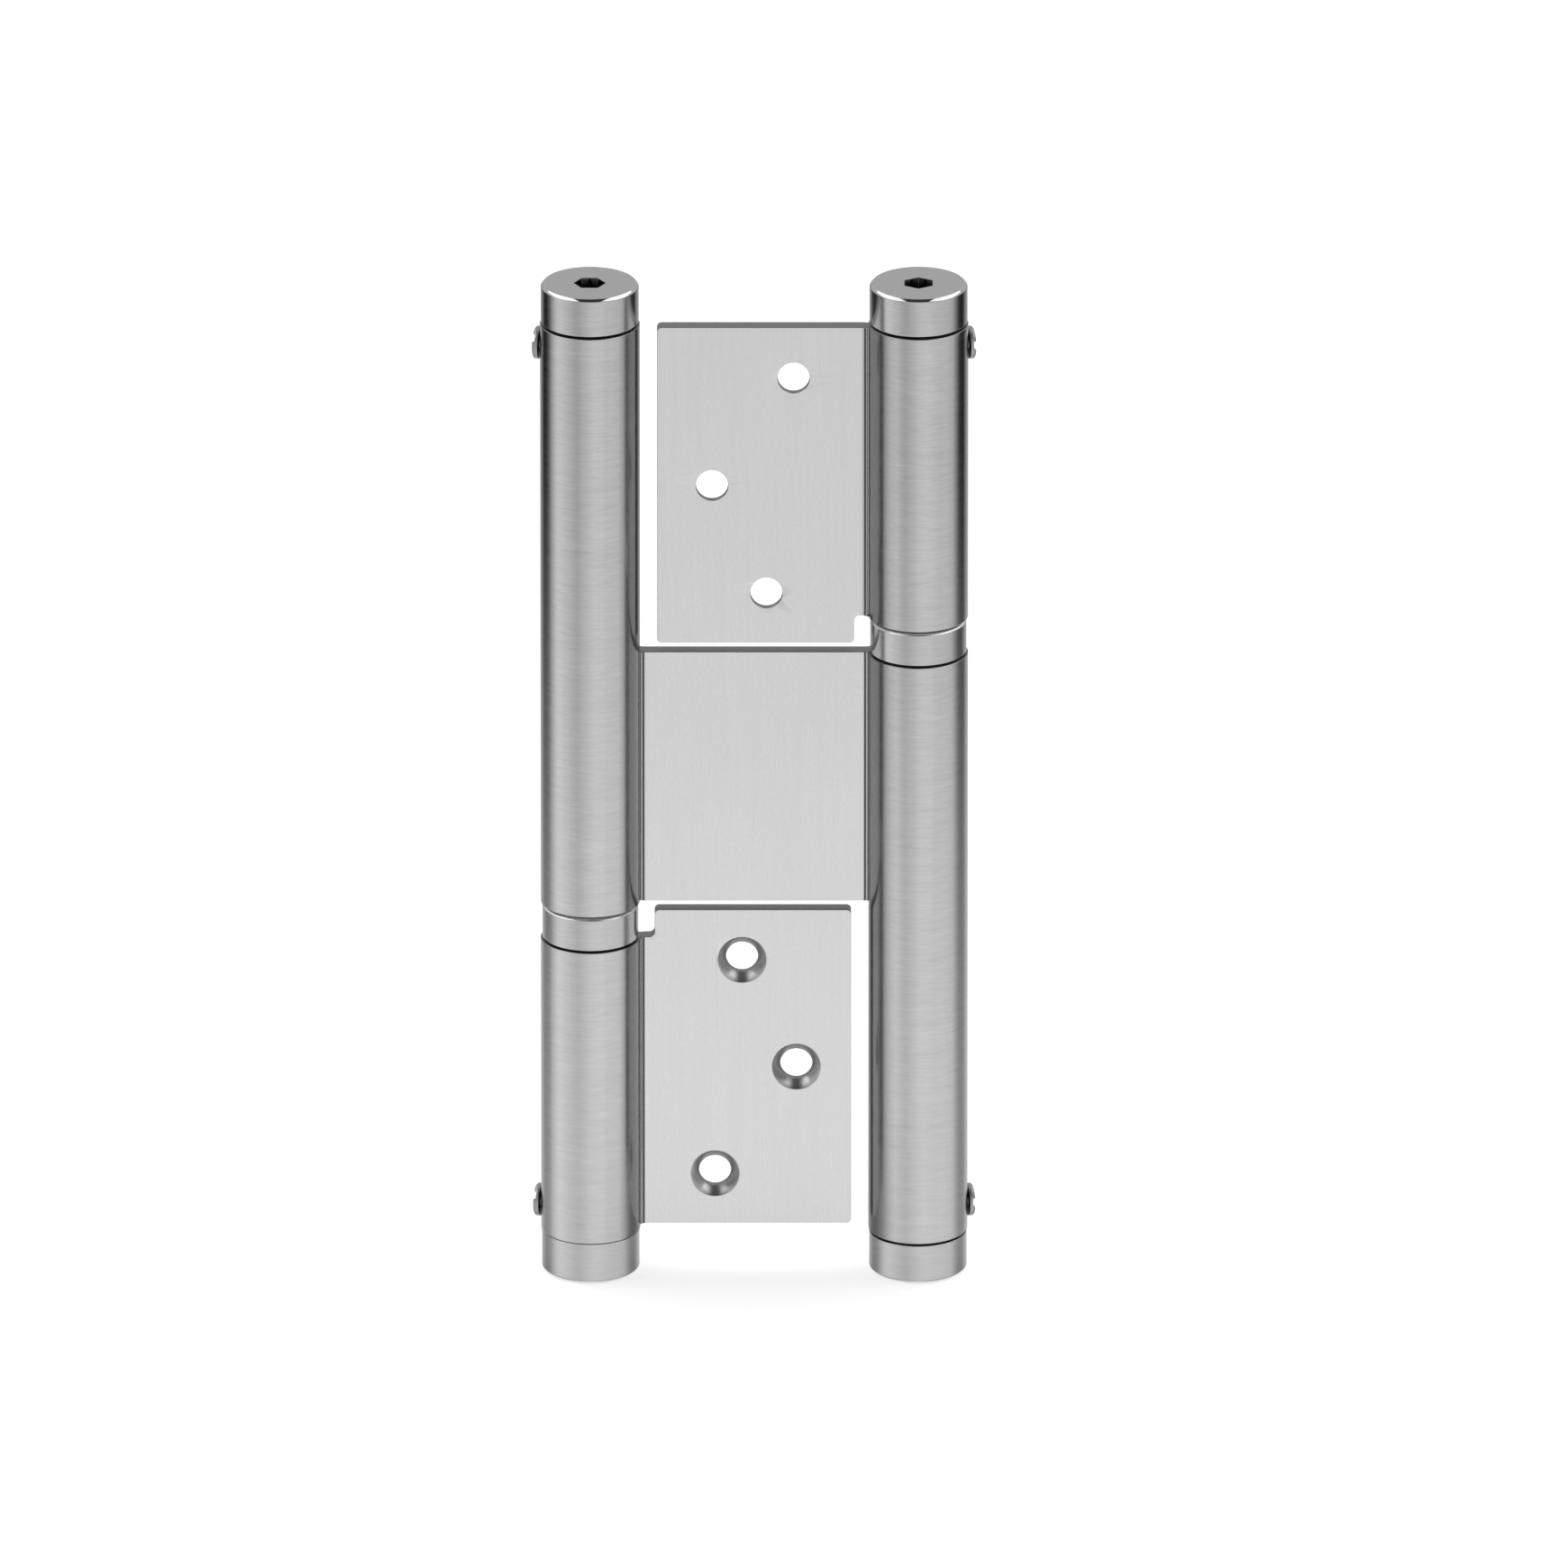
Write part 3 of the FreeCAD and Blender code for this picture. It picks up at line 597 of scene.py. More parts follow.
@dataclass(frozen=True)
class BrushedSheet(Finish):
    """Satin stainless sheet: brushed along the plates and round the barrels, with plain cut edges.

    Reaches are distances along X from the hinge's middle, in millimetres. Facings are parts of a normal.
    """

    plate_tone: float = 0.79
    barrel_tone: float = 0.62
    cone_tone: float = 0.62
    cut_tone: float = 0.26
    plate_roughness: float = 0.27
    barrel_roughness: float = 0.19
    cone_roughness: float = 0.24
    cut_roughness: float = 0.42
    plate_contrast: float = 0.14
    barrel_contrast: float = 0.34
    band_contrast: float = 0.10
    cut_contrast: float = 0.5
    cloud_contrast: float = 0.04
    gloss_contrast: float = 0.5
    plate_reach: Marks = (19.4, 19.9)
    bend_reach: Marks = (19.9, 20.8)
    # Painted shade: the barrels' tone drops to the inner-shade factor on their inner sides, between these
    # reaches.
    shade_reach: Marks = (21.8, 24.8)
    inner_shade: float = 0.43
    right_reach: Marks = (-1.0, 1.0)
    right_shade_shift: float = 1.0
    # A painted dark reflection: a thin dark line along the fold where plate meets barrel.
    fold_line: float = 20.0
    fold_fade: Marks = (0.11, 0.24)
    fold_shade: float = 0.12
    end_facing: Marks = (0.6, 0.8)
    edge_facing: Marks = (0.4, 0.55)
    cone_facing: Marks = (0.8, 0.95)
    plate_grain: Grain = Grain((4.5, 1.0, 0.10), 2.0, 3.0)
    plate_streak: Grain = Grain((0.9, 0.5, 0.02), 1.0, 9.0)
    barrel_grain: Grain = Grain((0.30, 0.30, 2.6), 3.0, 17.0)
    barrel_streak: Grain = Grain((0.08, 0.08, 0.7), 1.0, 5.0)
    streak_share: float = 0.3
    band: Grain = Grain((0.7, 0.7, 0.006), 1.0, 11.0)
    cloud: Grain = Grain((0.05, 0.05, 0.03), 1.0, 1.0)
    speckle: Grain = Grain((2.5, 2.5, 2.5), 2.0, 29.0)

    def surface(self, graph: Graph, place: Value, normal: Value) -> Surface:
        """Tell plates, barrels, countersinks and cut edges apart by place and facing.

        Args:
            graph: The material's nodes.
            place: The point, in metres.
            normal: The way it faces.

        Returns:
            What the finish says of the point.
        """
        x, _, _ = graph.axes(place)
        _, along_y, along_z = graph.axes(normal)
        facing = abs(along_y)
        plate = 1 - abs(x).step(self.plate_reach, MM)
        cut = abs(along_z).step(self.end_facing).larger(plate * (1 - facing.step(self.edge_facing)))
        cone = plate * (1 - facing.step(self.cone_facing))
        plate_mix, barrel_mix = (
            graph.noise(place, fine).mixed(graph.noise(place, streak), self.streak_share)
            for fine, streak in (
                (self.plate_grain, self.plate_streak), (self.barrel_grain, self.barrel_streak)
            )
        )
        speckle = graph.noise(place, self.speckle)
        grain = plate.blend(barrel_mix * self.barrel_contrast, plate_mix * self.plate_contrast)
        grain = grain - plate.blend(self.barrel_contrast / 2, self.plate_contrast / 2)
        tone = cone.blend(plate.blend(self.barrel(graph, place, x), self.plate_tone), self.cone_tone)
        # Painted dark reflection: a thin dark line along the fold between plate and barrel.
        off_painted_fold_reflection = abs(abs(x) - self.fold_line * MM).step(self.fold_fade, MM)
        cut_tone = self.cut_tone * speckle.around(1.0, self.cut_contrast)
        tone = cut.blend(tone * off_painted_fold_reflection.blend(self.fold_shade, 1.0), cut_tone)
        tone = tone * (1 + grain) * graph.noise(place, self.cloud).around(1.0, self.cloud_contrast)
        ground = plate.blend(self.barrel_roughness, self.plate_roughness) + self.gloss_contrast * grain
        roughness = cut.blend(cone.blend(ground, self.cone_roughness), self.cut_roughness)
        return Surface(tone, roughness, cut.blend(plate.blend(barrel_mix, plate_mix), speckle))

    def barrel(self, graph: Graph, place: Value, x: Value) -> Value:
        """The barrels' tone: softly banded, with painted shade on the inner sides that face the plates.

        Args:
            graph: The material's nodes.
            place: The point, in metres.
            x: Its place along X.

        Returns:
            The tone.
        """
        # Painted shade on the barrels' inner sides, reaching further in on the right barrel.
        shift = x.step(self.right_reach, MM) * (self.right_shade_shift * MM)
        past_painted_shade = (abs(x) - shift).step(self.shade_reach, MM)
        before_painted_shade = 1 - abs(x).step(self.bend_reach, MM)
        shade = past_painted_shade.larger(before_painted_shade).blend(self.inner_shade, 1.0)
        return self.barrel_tone * shade * graph.noise(place, self.band).around(1.0, self.band_contrast)


@dataclass(frozen=True)
class TurnedSteel(Finish):
    """Turned steel: fine rings on the ends, fine lines round the sides, chamfers painted brighter as a
    highlight.
    """

    side_tone: float = 0.60
    end_tone: float = 0.58
    # Painted highlight: chamfers are given a lighter tone than the sides and ends.
    chamfer_tone: float = 0.66
    # Painted shade inside the hex socket: its walls are made darker.
    inside_tone: float = 0.15
    inside_radius: float = 3.1
    inside_fade: float = 0.1
    side_roughness: float = 0.20
    end_roughness: float = 0.38
    chamfer_roughness: float = 0.10
    contrast: float = 0.22
    gloss_contrast: float = 0.3
    end_facing: Marks = (0.85, 0.97)
    chamfer_facing: Marks = (0.3, 0.6)
    rings: Grain = Grain((5.0, 1.0, 1.0), 2.0, 7.0)
    lines: Grain = Grain((0.30, 0.30, 2.8), 3.0, 13.0)
    speckle: Grain = Grain((3.0, 3.0, 3.0), 2.0, 21.0)
    speckle_share: float = 0.5

    def surface(self, graph: Graph, place: Value, normal: Value) -> Surface:
        """Tell ends, chamfers, sides and the socket apart by facing and by distance from the axis.

        Args:
            graph: The material's nodes.
            place: The point, in metres.
            normal: The way it faces.

        Returns:
            What the finish says of the point.
        """
        x, y, _ = graph.axes(place)
        facing = abs(graph.axes(normal)[2])
        off_axis = abs(x) - Shared.AXIS_REACH * MM
        radius = (off_axis * off_axis + y * y) ** 0.5
        rings = graph.noise(graph.node("CombineXYZ", inputs={"X": radius}), self.rings)
        speckle = graph.noise(place, self.speckle)
        end = facing.step(self.end_facing)
        chamfer = facing.step(self.chamfer_facing) * (1 - end)
        # Painted shade: the socket's walls, within the inside radius, take a dark tone.
        socket_wall = (self.inside_radius, self.inside_radius + self.inside_fade)
        painted_shade_inside = (1 - radius.step(socket_wall, MM)) * (1 - end)
        grain = end.blend(graph.noise(place, self.lines), rings.mixed(speckle, self.speckle_share))
        tone = chamfer.blend(end.blend(self.side_tone, self.end_tone), self.chamfer_tone)
        tone = painted_shade_inside.blend(tone, self.inside_tone) * grain.around(1.0, self.contrast)
        roughness = end.blend(self.side_roughness, self.end_roughness)
        roughness = chamfer.blend(roughness, self.chamfer_roughness)
        return Surface(tone, roughness * grain.around(1.0, self.gloss_contrast), grain)


@dataclass(frozen=True)
class MottledSkin(Finish):
    """A plain skin that noise of two scales makes a little uneven. As it stands: plain steel."""

    tone: float = 0.42
    roughness: float = 0.32
    contrast: float = 0.25
    gloss_spread: float = 0.3
    coarse: Grain = Grain((1.2, 1.2, 1.2), 3.0, 31.0)
    fine: Grain = Grain((6.0, 6.0, 6.0), 2.0, 37.0)
    fine_tone_share: float = 0.4
    fine_gloss_share: float = 0.4

    def surface(self, graph: Graph, place: Value, normal: Value) -> Surface:
        """Mottle the whole surface alike.

        Args:
            graph: The material's nodes.
            place: The point, in metres.
            normal: The way it faces.

        Returns:
            What the finish says of the point.
        """
        coarse = graph.noise(place, self.coarse)
        fine = graph.noise(place, self.fine)
        tone = self.tone * coarse.mixed(fine, self.fine_tone_share).around(1.0, self.contrast)
        gloss = coarse.mixed(fine, self.fine_gloss_share)
        return Surface(tone, gloss.around(self.roughness, self.gloss_spread), fine)


BLACK_PLASTIC = MottledSkin(
    metallic=0.0, tone=0.02, roughness=0.5, contrast=0.6, gloss_spread=0.2, fine_tone_share=0.0,
    fine_gloss_share=1.0, coarse=Grain((0.5, 0.5, 0.2), 1.0, 43.0), fine=Grain((4.0, 4.0, 4.0), 3.0, 41.0),
)
FINISHES = {
    Slot.LEAF: BrushedSheet(),
    Slot.PLUG: TurnedSteel(),
    # The ring's chamfer carries a strong painted highlight.
    Slot.RING: TurnedSteel(end_tone=0.55, chamfer_tone=1.0, chamfer_roughness=0.32, inside_radius=0.0),
    Slot.SCREW: MottledSkin(),
    Slot.INNER: TurnedSteel(side_tone=0.50, end_tone=0.45, inside_radius=0.0),
    Slot.SPRING: MottledSkin(tone=0.16, roughness=0.36),
    Slot.BUSH: BLACK_PLASTIC,
}


# Sub-assemblies


@dataclass
class Part:
    """What every sub-assembly shares: its finishes and the way its pieces are set in place."""

    segments: int = 96
    materials: dict[Slot, bpy.types.Material] = field(default_factory=dict)

    def build(self) -> None:
        """Make the pieces and set them in place."""
        raise NotImplementedError

    def dress(self, piece: Workpiece, node: str, slot: Slot, place: Matrix, edges: EdgeBreak) -> None:
        """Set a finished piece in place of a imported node, so that it moves with the node's body.

        Args:
            piece: The piece, in millimetres about its own axis.
            node: The node that it stands for.
            slot: The material slot of its finish.
            place: Where it goes, in millimetres.
            edges: How its edges are broken.
        """
        data = piece.moved(Matrix.Scale(MM, 4) @ place).as_mesh(f"{node}_finished")
        piece.mesh.free()
        data.shade_smooth()
        data.materials.append(self.materials[slot])
        item = add_object(data.name, data)
        edges.apply(item)
        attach(item, Shared.BODY_OF[node])
        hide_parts(node)
        log.info("%s: %d faces before its edges are broken", item.name, len(data.polygons))


@dataclass
class RolledLeaf(Part):
    """A leaf of one sheet, with one knuckle or two rolled from it. Sizes in millimetres."""

    barrel_radius: float = Shared.BARREL_RADIUS
    thickness: float = Shared.SHEET
    bend_radius: float = 3.0
    seam_gap: float = 0.35
    plate_offset: float = 1.0
    corner_radius: float = 0.8
    notch_corner_radius: float = 1.0
    notch_reach: float = 11.6
    edge_gap: float = 3.1
    lip: float = 0.8
    lock_hole_radius: float = 1.5
    hole_rim_radius: float = 4.45
    score_offset: float = 0.37
    round_steps: int = 90
    bend_steps: int = 14
    closing_steps: int = 7
    edges: EdgeBreak = EdgeBreak(0.11, segments=3)

    @property
    def middle_radius(self) -> float:
        """The radius of the rolled sheet's middle."""
        return self.barrel_radius - self.thickness / 2

    @property
    def bend_reach(self) -> float:
        """How far the bend's centre lies from the barrel's axis."""
        return self.middle_radius + self.bend_radius

    def angles(self, offset: float) -> tuple[float, float, float]:
        """Where a knuckle's round begins, ends and, past the plate, closes.

        Args:
            offset: How far the plate's middle lies towards the side that the bend leaves.

        Returns:
            The angles of the bend, of the sheet's end and of the closing face beyond the seam.
        """
        bend = math.asin((offset + self.bend_radius) / self.bend_reach)
        seam_reach = self.bend_radius + self.thickness / 2 + self.seam_gap
        squares = self.barrel_radius**2 + self.bend_reach**2 - seam_reach**2
        opening = math.acos(squares / (2 * self.barrel_radius * self.bend_reach))
        end = bend - opening
        return bend, end, end + self.seam_gap / self.barrel_radius

    def roll(self, offset: float, plate_ends: Sequence[float], height: float, lip: float) -> Workpiece:
        """Roll one knuckle with its plate, the barrel's axis on Z and the plate towards +X.

        Args:
            offset: How far the plate's middle lies towards +Y.
            plate_ends: Where the plate's strips end along X.
            height: How tall the knuckle is where the plate joins it.
            lip: How far the knuckle stands above the plate.

        Returns:
            The rolled sheet, standing on zero.
        """
        bend, end, _ = self.angles(offset)
        piece = Workpiece()
        outer, inner = (
            piece.mesh.verts.new((radius * math.cos(end), radius * math.sin(end), 0))
            for radius in (self.barrel_radius, Shared.BORE_RADIUS)
        )
        face = [outer, inner, piece.mesh.edges.new((outer, inner))]
        face = piece.sweep(face, ORIGIN, bend - end - FULL_TURN, self.round_steps)
        centre = Vector((math.cos(bend), math.sin(bend), 0)) * self.bend_reach
        face = piece.sweep(face, centre, RIGHT_ANGLE - bend, self.bend_steps)
        reached = centre.x
        for plate_end in plate_ends:
            face = piece.sweep(face, ORIGIN, 0, 1, X_AXIS * (plate_end - reached))
            reached = plate_end
        piece.extrude_faces(piece.mesh.faces, Z_AXIS * height, keep=True)
        piece.close_up()
        self.raise_lip(piece, offset, height, lip)
        return piece

    def raise_lip(self, piece: Workpiece, offset: float, height: float, lip: float) -> None:
        """Carry the round up past the plate and close it there, but for the seam.

        Args:
            piece: The rolled sheet.
            offset: How far the plate's middle lies towards +Y.
            height: How tall the knuckle is where the plate joins it.
            lip: How far the knuckle stands above the plate.
        """
        bend, end, close = self.angles(offset)
        outward = Vector((math.cos(bend), math.sin(bend), 0))

        def is_top(centre: Vector, normal: Vector) -> bool:
            """Whether a face lies on the round's top."""
            on_round = not end < math.atan2(centre.y, centre.x) < bend
            on_top = normal.z > ALONG and abs(centre.z - height) < NEAR
            return on_round and on_top and centre.xy.length < self.barrel_radius

        def is_wall(centre: Vector, normal: Vector) -> bool:
            """Whether a face ends the raised round at the bend."""
            upright = abs(normal.z) < ACROSS and abs(normal.dot(outward)) < ACROSS
            beside = centre.xy - outward.xy * self.middle_radius
            return upright and centre.z > height and beside.length < NEAR

        piece.extrude_faces(piece.pick_faces(is_top), Z_AXIS * lip)
        (wall,) = piece.pick_faces(is_wall)
        piece.sweep([wall, *wall.edges, *wall.verts], ORIGIN, close - bend, self.closing_steps)
        piece.close_up()

    def lock_hole(self, turn: float, level: float) -> Workpiece:
        """The tool that opens the hole of a locking screw, out from the axis at an angle."""
        tool = Workpiece.prism(self.segments // 2, self.lock_hole_radius, 0, 2 * self.barrel_radius)
        return tool.moved(moved_by(z=level) @ turned_by(turn, "Z") @ turned_by(RIGHT_ANGLE, "Y"))

    def screw_hole(self, mount: dict[str, Any]) -> Workpiece:
        """The tool that opens one countersunk hole.

        Args:
            mount: The hole's mount in the record.

        Returns:
            The tool, at the mount.
        """
        radius = mount["dims"]["r_mm"]
        rim = self.hole_rim_radius
        face = self.thickness / 2
        profile = [
            (0, -self.thickness),
            (radius, -self.thickness),
            (radius, face - (rim - radius)),
            (rim + OVERCUT, face + OVERCUT),
            (0, face + OVERCUT),
        ]
        place = Vector(mount["pos_m"]) / MM
        place.y = self.plate_offset
        turn = Z_AXIS.rotation_difference(Vector(mount["axis"])).to_matrix().to_4x4()
        return Workpiece.turned(profile, self.segments).moved(Matrix.Translation(place) @ turn)


@dataclass
class MiddleLeaf(RolledLeaf):
    """The middle leaf: alike by a half turn about its own middle."""

    node: str = "middle_leaf"

    def build(self) -> None:
        """Roll one half, turn a copy of it over, join them and open the locking holes."""
        low, high = levels(self.node)
        middle = (low + high) / 2
        plate_low = levels("left_upper_bush")[0] + Shared.FLANGE
        plate_height = 2 * (middle - plate_low)
        knuckle = high - plate_low
        axis = Shared.AXIS_REACH
        half = self.roll(self.plate_offset, [axis], plate_height, knuckle - plate_height)
        half.cut(self.lock_hole(math.pi - Shared.LOCK_ANGLE, knuckle - Shared.LOCK_DISTANCE))
        half.moved(moved_by(-axis, plate_low - middle))
        whole = Workpiece()
        whole.add(half)
        whole.add(half.moved(turned_by(math.pi, "Y")))
        joint = whole.pick_faces(lambda centre, normal: abs(centre.x) < NEAR and abs(normal.x) > ALONG)
        bmesh.ops.delete(whole.mesh, geom=joint, context="FACES")
        whole.close_up()
        self.dress(whole, self.node, Slot.LEAF, moved_by(z=middle), self.edges)


@dataclass
class ScrewLeaf(RolledLeaf):
    """A leaf that is screwed on: a plate with three countersunk holes and one short knuckle."""

    node: str = "frame_leaf"
    mount_prefix: str = "frame_hole"
    side: Side = Side.RIGHT
    upside_down: bool = False

    def build(self) -> None:
        """Roll the sheet, notch and round its plate, and open its holes."""
        low, high = levels(self.node)
        ring_low, ring_high = levels(f"{self.side.word}_ring")
        ring_end = ring_low - Shared.FLANGE if self.upside_down else ring_high + Shared.FLANGE
        knuckle = ring_end - low if self.upside_down else high - ring_end
        overhang = high - ring_end if self.upside_down else ring_end - low
        reach = 2 * Shared.AXIS_REACH - self.barrel_radius - self.edge_gap
        height = knuckle - self.lip
        piece = self.roll(-self.plate_offset, [self.notch_reach, reach], height, self.lip)
        beside_notch = piece.pick_faces(
            lambda centre, normal: normal.z < -ALONG and abs(centre.z) < NEAR and centre.x > self.notch_reach
        )
        piece.extrude_faces(beside_notch, Z_AXIS * -overhang)
        piece.round_corner(self.notch_reach, 0, self.notch_corner_radius)
        for x, z in ((self.notch_reach, -overhang), (reach, -overhang), (reach, height)):
            piece.round_corner(x, z, self.corner_radius)
        piece.cut(self.lock_hole(math.pi + Shared.LOCK_ANGLE, knuckle - Shared.LOCK_DISTANCE))
        turn = turned_by(math.pi, "X" if self.upside_down else "Z")
        piece.moved(moved_by(self.side.axis, ring_end) @ turn)
        holes = [mount for mount in frame["record"]["mounts"] if mount["name"].startswith(self.mount_prefix)]
        for mount in holes:
            beside = Vector(mount["pos_m"]) / MM + Vector((1, 0, 1)) * self.score_offset
            piece.score(beside, X_AXIS)
            piece.score(beside, Z_AXIS)
        for mount in holes:
            piece.cut(self.screw_hole(mount))
        self.dress(piece, self.node, Slot.LEAF, Matrix.Identity(4), self.edges)


@dataclass(frozen=True)
class CapFit:
    """How a cap meets its knuckle: how far its inner edge is eased and how far it stands closer."""

    heel: float = 0.0
    rise: float = 0.0


@dataclass
class EndPlug(Part):
    """The turned end plugs of both barrels. Sizes in millimetres."""

    cap_radius: float = 8.85
    cap_height: float = Shared.CAP_HEIGHT
    cap_gap: float = Shared.CAP_GAP
    cap_chamfer: float = 0.5
    spigot_radius: float = Shared.BORE_RADIUS - Shared.RUNNING_CLEARANCE
    spigot_length: float = 12.0
    spigot_chamfer: float = 0.5
    groove_distance: float = Shared.LOCK_DISTANCE
    groove_width: float = 3.6
    groove_depth: float = 1.0
    across_flats: float = 5.0
    socket_depth: float = 4.5
    slot_width: float = 1.8
    slot_depth: float = 4.0
    top_fit: CapFit = CapFit(heel=0.26)
    bottom_fits: tuple[CapFit, CapFit] = (CapFit(rise=0.16), CapFit(rise=-0.2))
    edges: EdgeBreak = EdgeBreak(0.1)

    @property
    def length(self) -> float:
        """The whole plug's length."""
        return self.cap_height + self.cap_gap + self.spigot_length

    def blank(self, fit: CapFit) -> Workpiece:
        """The turned plug, cap down.

        Args:
            fit: How its cap meets the knuckle.

        Returns:
            The plug without its socket and slot.
        """
        shoulder = self.cap_height + fit.rise
        groove = self.cap_height + self.cap_gap + self.groove_distance
        groove_low, groove_high = groove - self.groove_width / 2, groove + self.groove_width / 2
        groove_radius = self.spigot_radius - self.groove_depth
        profile = [
            (0, 0),
            (self.cap_radius - self.cap_chamfer, 0),
            (self.cap_radius, self.cap_chamfer),
            (self.cap_radius, shoulder - fit.heel),
            (self.cap_radius - fit.heel, shoulder),
            (self.spigot_radius, shoulder),
            (self.spigot_radius, groove_low),
            (groove_radius, groove_low),
            (groove_radius, groove_high),
            (self.spigot_radius, groove_high),
            (self.spigot_radius, self.length - self.spigot_chamfer),
            (self.spigot_radius - self.spigot_chamfer, self.length),
            (0, self.length),
        ]
        return Workpiece.turned(profile, self.segments)

    def shaped(self, fit: CapFit) -> Workpiece:
        """The plug, cap down, with its hex socket and the slot that holds the spring."""
        piece = self.blank(fit)
        piece.cut(Workpiece.prism(6, self.across_flats / math.sqrt(3), -OVERCUT, self.socket_depth))
        piece.cut_slot(self.slot_width, self.slot_depth, self.length, self.cap_radius)
        return piece

    def build(self) -> None:
        """Make the four plugs."""
        top = CAD_BOX[1].z / MM
        for side, bottom_fit in zip(Side, self.bottom_fits):
            upright = moved_by(side.axis) @ turned_by(Shared.SLOT_TURNS[side], "Z")
            over = moved_by(z=top) @ upright @ turned_by(math.pi, "X")
            for end, place, fit in ((End.BOTTOM, upright, bottom_fit), (End.TOP, over, self.top_fit)):
                node = f"{side.word}_{end.value}_plug"
                self.dress(self.shaped(fit), node, Slot.PLUG, place, self.edges)


@dataclass
class LockScrew(Part):
    """The slotted screws that lock the plugs. Sizes in millimetres."""

    segments: int = 48
    head_radius: float = 3.0
    head_thickness: float = 1.0
    head_chamfer: float = 0.25
    shank_radius: float = 1.45
    shank_length: float = 3.9
    thread_depth: float = 0.22
    thread_pitch: float = 0.5
    thread_foot: float = 0.225
    slot_width: float = 1.6
    slot_depth: float = 0.45
    seat_reach: float = 9.1
    level: float = Shared.CAP_HEIGHT + Shared.CAP_GAP + Shared.LOCK_DISTANCE
    backward: float = Shared.LOCK_ANGLE
    turns: tuple[tuple[Side, float], ...] = (
        (Side.LEFT, math.radians(128)),
        (Side.RIGHT, math.radians(85)),
    )
    edges: EdgeBreak = EdgeBreak(0.08)

    def shaped(self) -> Workpiece:
        """Turn the screw, cut its slot and wind its thread.

        Returns:
            One screw, head up, its head's underside at zero.
        """
        core = self.shank_radius - self.thread_depth
        profile = [
            (0, -self.shank_length),
            (core, -self.shank_length),
            (core, 0),
            (self.head_radius, 0),
            (self.head_radius, self.head_thickness - self.head_chamfer),
            (self.head_radius - self.head_chamfer, self.head_thickness),
            (0, self.head_thickness),
        ]
        piece = Workpiece.turned(profile, self.segments)
        piece.cut_slot(self.slot_width, self.slot_depth, self.head_thickness, self.head_radius)
        piece.add(self.thread())
        return piece

    def thread(self) -> Workpiece:
        """Wind the ridge of the thread up the shank.

        Returns:
            The ridge, its foot sunk into the shank.
        """
        root = self.shank_radius - 2 * self.thread_depth
        foot = self.thread_foot
        low = -self.shank_length + foot
        turns = int((self.shank_length - 2 * foot) / self.thread_pitch)
        piece = Workpiece()
        corners = [
            piece.mesh.verts.new(point)
            for point in ((root, 0, low - foot), (self.shank_radius, 0, low), (root, 0, low + foot))
        ]
        ridge = piece.mesh.faces.new(corners)
        shape = [ridge, *ridge.edges, *corners]
        climb = Z_AXIS * turns * self.thread_pitch
        piece.sweep(shape, ORIGIN, turns * FULL_TURN, turns * self.segments // 2, climb)
        piece.close_up()
        return piece

    def build(self) -> None:
        """Set one screw near each end of each barrel, slots turned as they were driven."""
        top = CAD_BOX[1].z / MM
        for side, turn in self.turns:
            outward = self.backward if side is Side.RIGHT else math.pi - self.backward
            seat = Vector((math.cos(outward), math.sin(outward), 0)) * self.seat_reach
            facing = turned_by(outward, "Z") @ turned_by(RIGHT_ANGLE, "Y") @ turned_by(turn, "Z")
            for end, level in ((End.BOTTOM, self.level), (End.TOP, top - self.level)):
                place = moved_by(side.axis, level) @ Matrix.Translation(seat) @ facing
                node = f"{side.word}_{end.value}_screw"
                self.dress(self.shaped(), node, Slot.SCREW, place, self.edges)


@dataclass
class BearingSet(Part):
    """What runs between two knuckles: the ring, its two flanged bushes and the sleeve."""

    side: Side = Side.LEFT
    press_clearance: float = 0.02
    end_play: float = 0.02
    bush_wall: float = 0.7
    bush_length: float = 12.0
    flange_radius: float = 8.1
    ring_radius: float = 8.7
    ring_chamfer: float = 0.5
    sleeve_wall: float = 0.65
    ring_edges: EdgeBreak = EdgeBreak(0.07)
    thin_edges: EdgeBreak = EdgeBreak(0.05)

    @property
    def bush_bore(self) -> float:
        """The bushes' and the ring's inner radius."""
        return Shared.BORE_RADIUS - self.bush_wall

    def sleeve(self, low: float, high: float) -> Workpiece:
        """The plain tube that both knuckles turn on, between two heights."""
        outer = self.bush_bore - Shared.RUNNING_CLEARANCE
        inner = outer - self.sleeve_wall
        return Workpiece.turned([(inner, low), (outer, low), (outer, high), (inner, high)], self.segments)

    def bush(self) -> Workpiece:
        """A flanged bush that hangs from zero into its knuckle."""
        tube = Shared.BORE_RADIUS - self.press_clearance
        flange = Shared.FLANGE - self.end_play
        profile = [
            (self.bush_bore, -self.bush_length),
            (tube, -self.bush_length),
            (tube, 0),
            (self.flange_radius, 0),
            (self.flange_radius, flange),
            (self.bush_bore, flange),
        ]
        return Workpiece.turned(profile, self.segments)

    def ring(self, height: float) -> Workpiece:
        """The bearing ring, standing on zero and chamfered above."""
        profile = [
            (self.bush_bore, 0),
            (self.ring_radius, 0),
            (self.ring_radius, height - self.ring_chamfer),
            (self.ring_radius - self.ring_chamfer, height),
            (self.bush_bore, height),
        ]
        return Workpiece.turned(profile, self.segments)

    def build(self) -> None:
        """Make the ring, the bushes and the sleeve of one barrel."""
        word = self.side.word
        axis = moved_by(self.side.axis)
        low, high = levels(f"{word}_ring")
        self.dress(self.ring(high - low), f"{word}_ring", Slot.RING, moved_by(z=low) @ axis, self.ring_edges)
        below = moved_by(z=low - Shared.FLANGE) @ axis
        above = moved_by(z=high + Shared.FLANGE) @ axis @ turned_by(math.pi, "X")
        self.dress(self.bush(), f"{word}_lower_bush", Slot.BUSH, below, self.thin_edges)
        self.dress(self.bush(), f"{word}_upper_bush", Slot.BUSH, above, self.thin_edges)
        sleeve = self.sleeve(*levels(f"{word}_sleeve"))
        self.dress(sleeve, f"{word}_sleeve", Slot.INNER, axis, self.thin_edges)


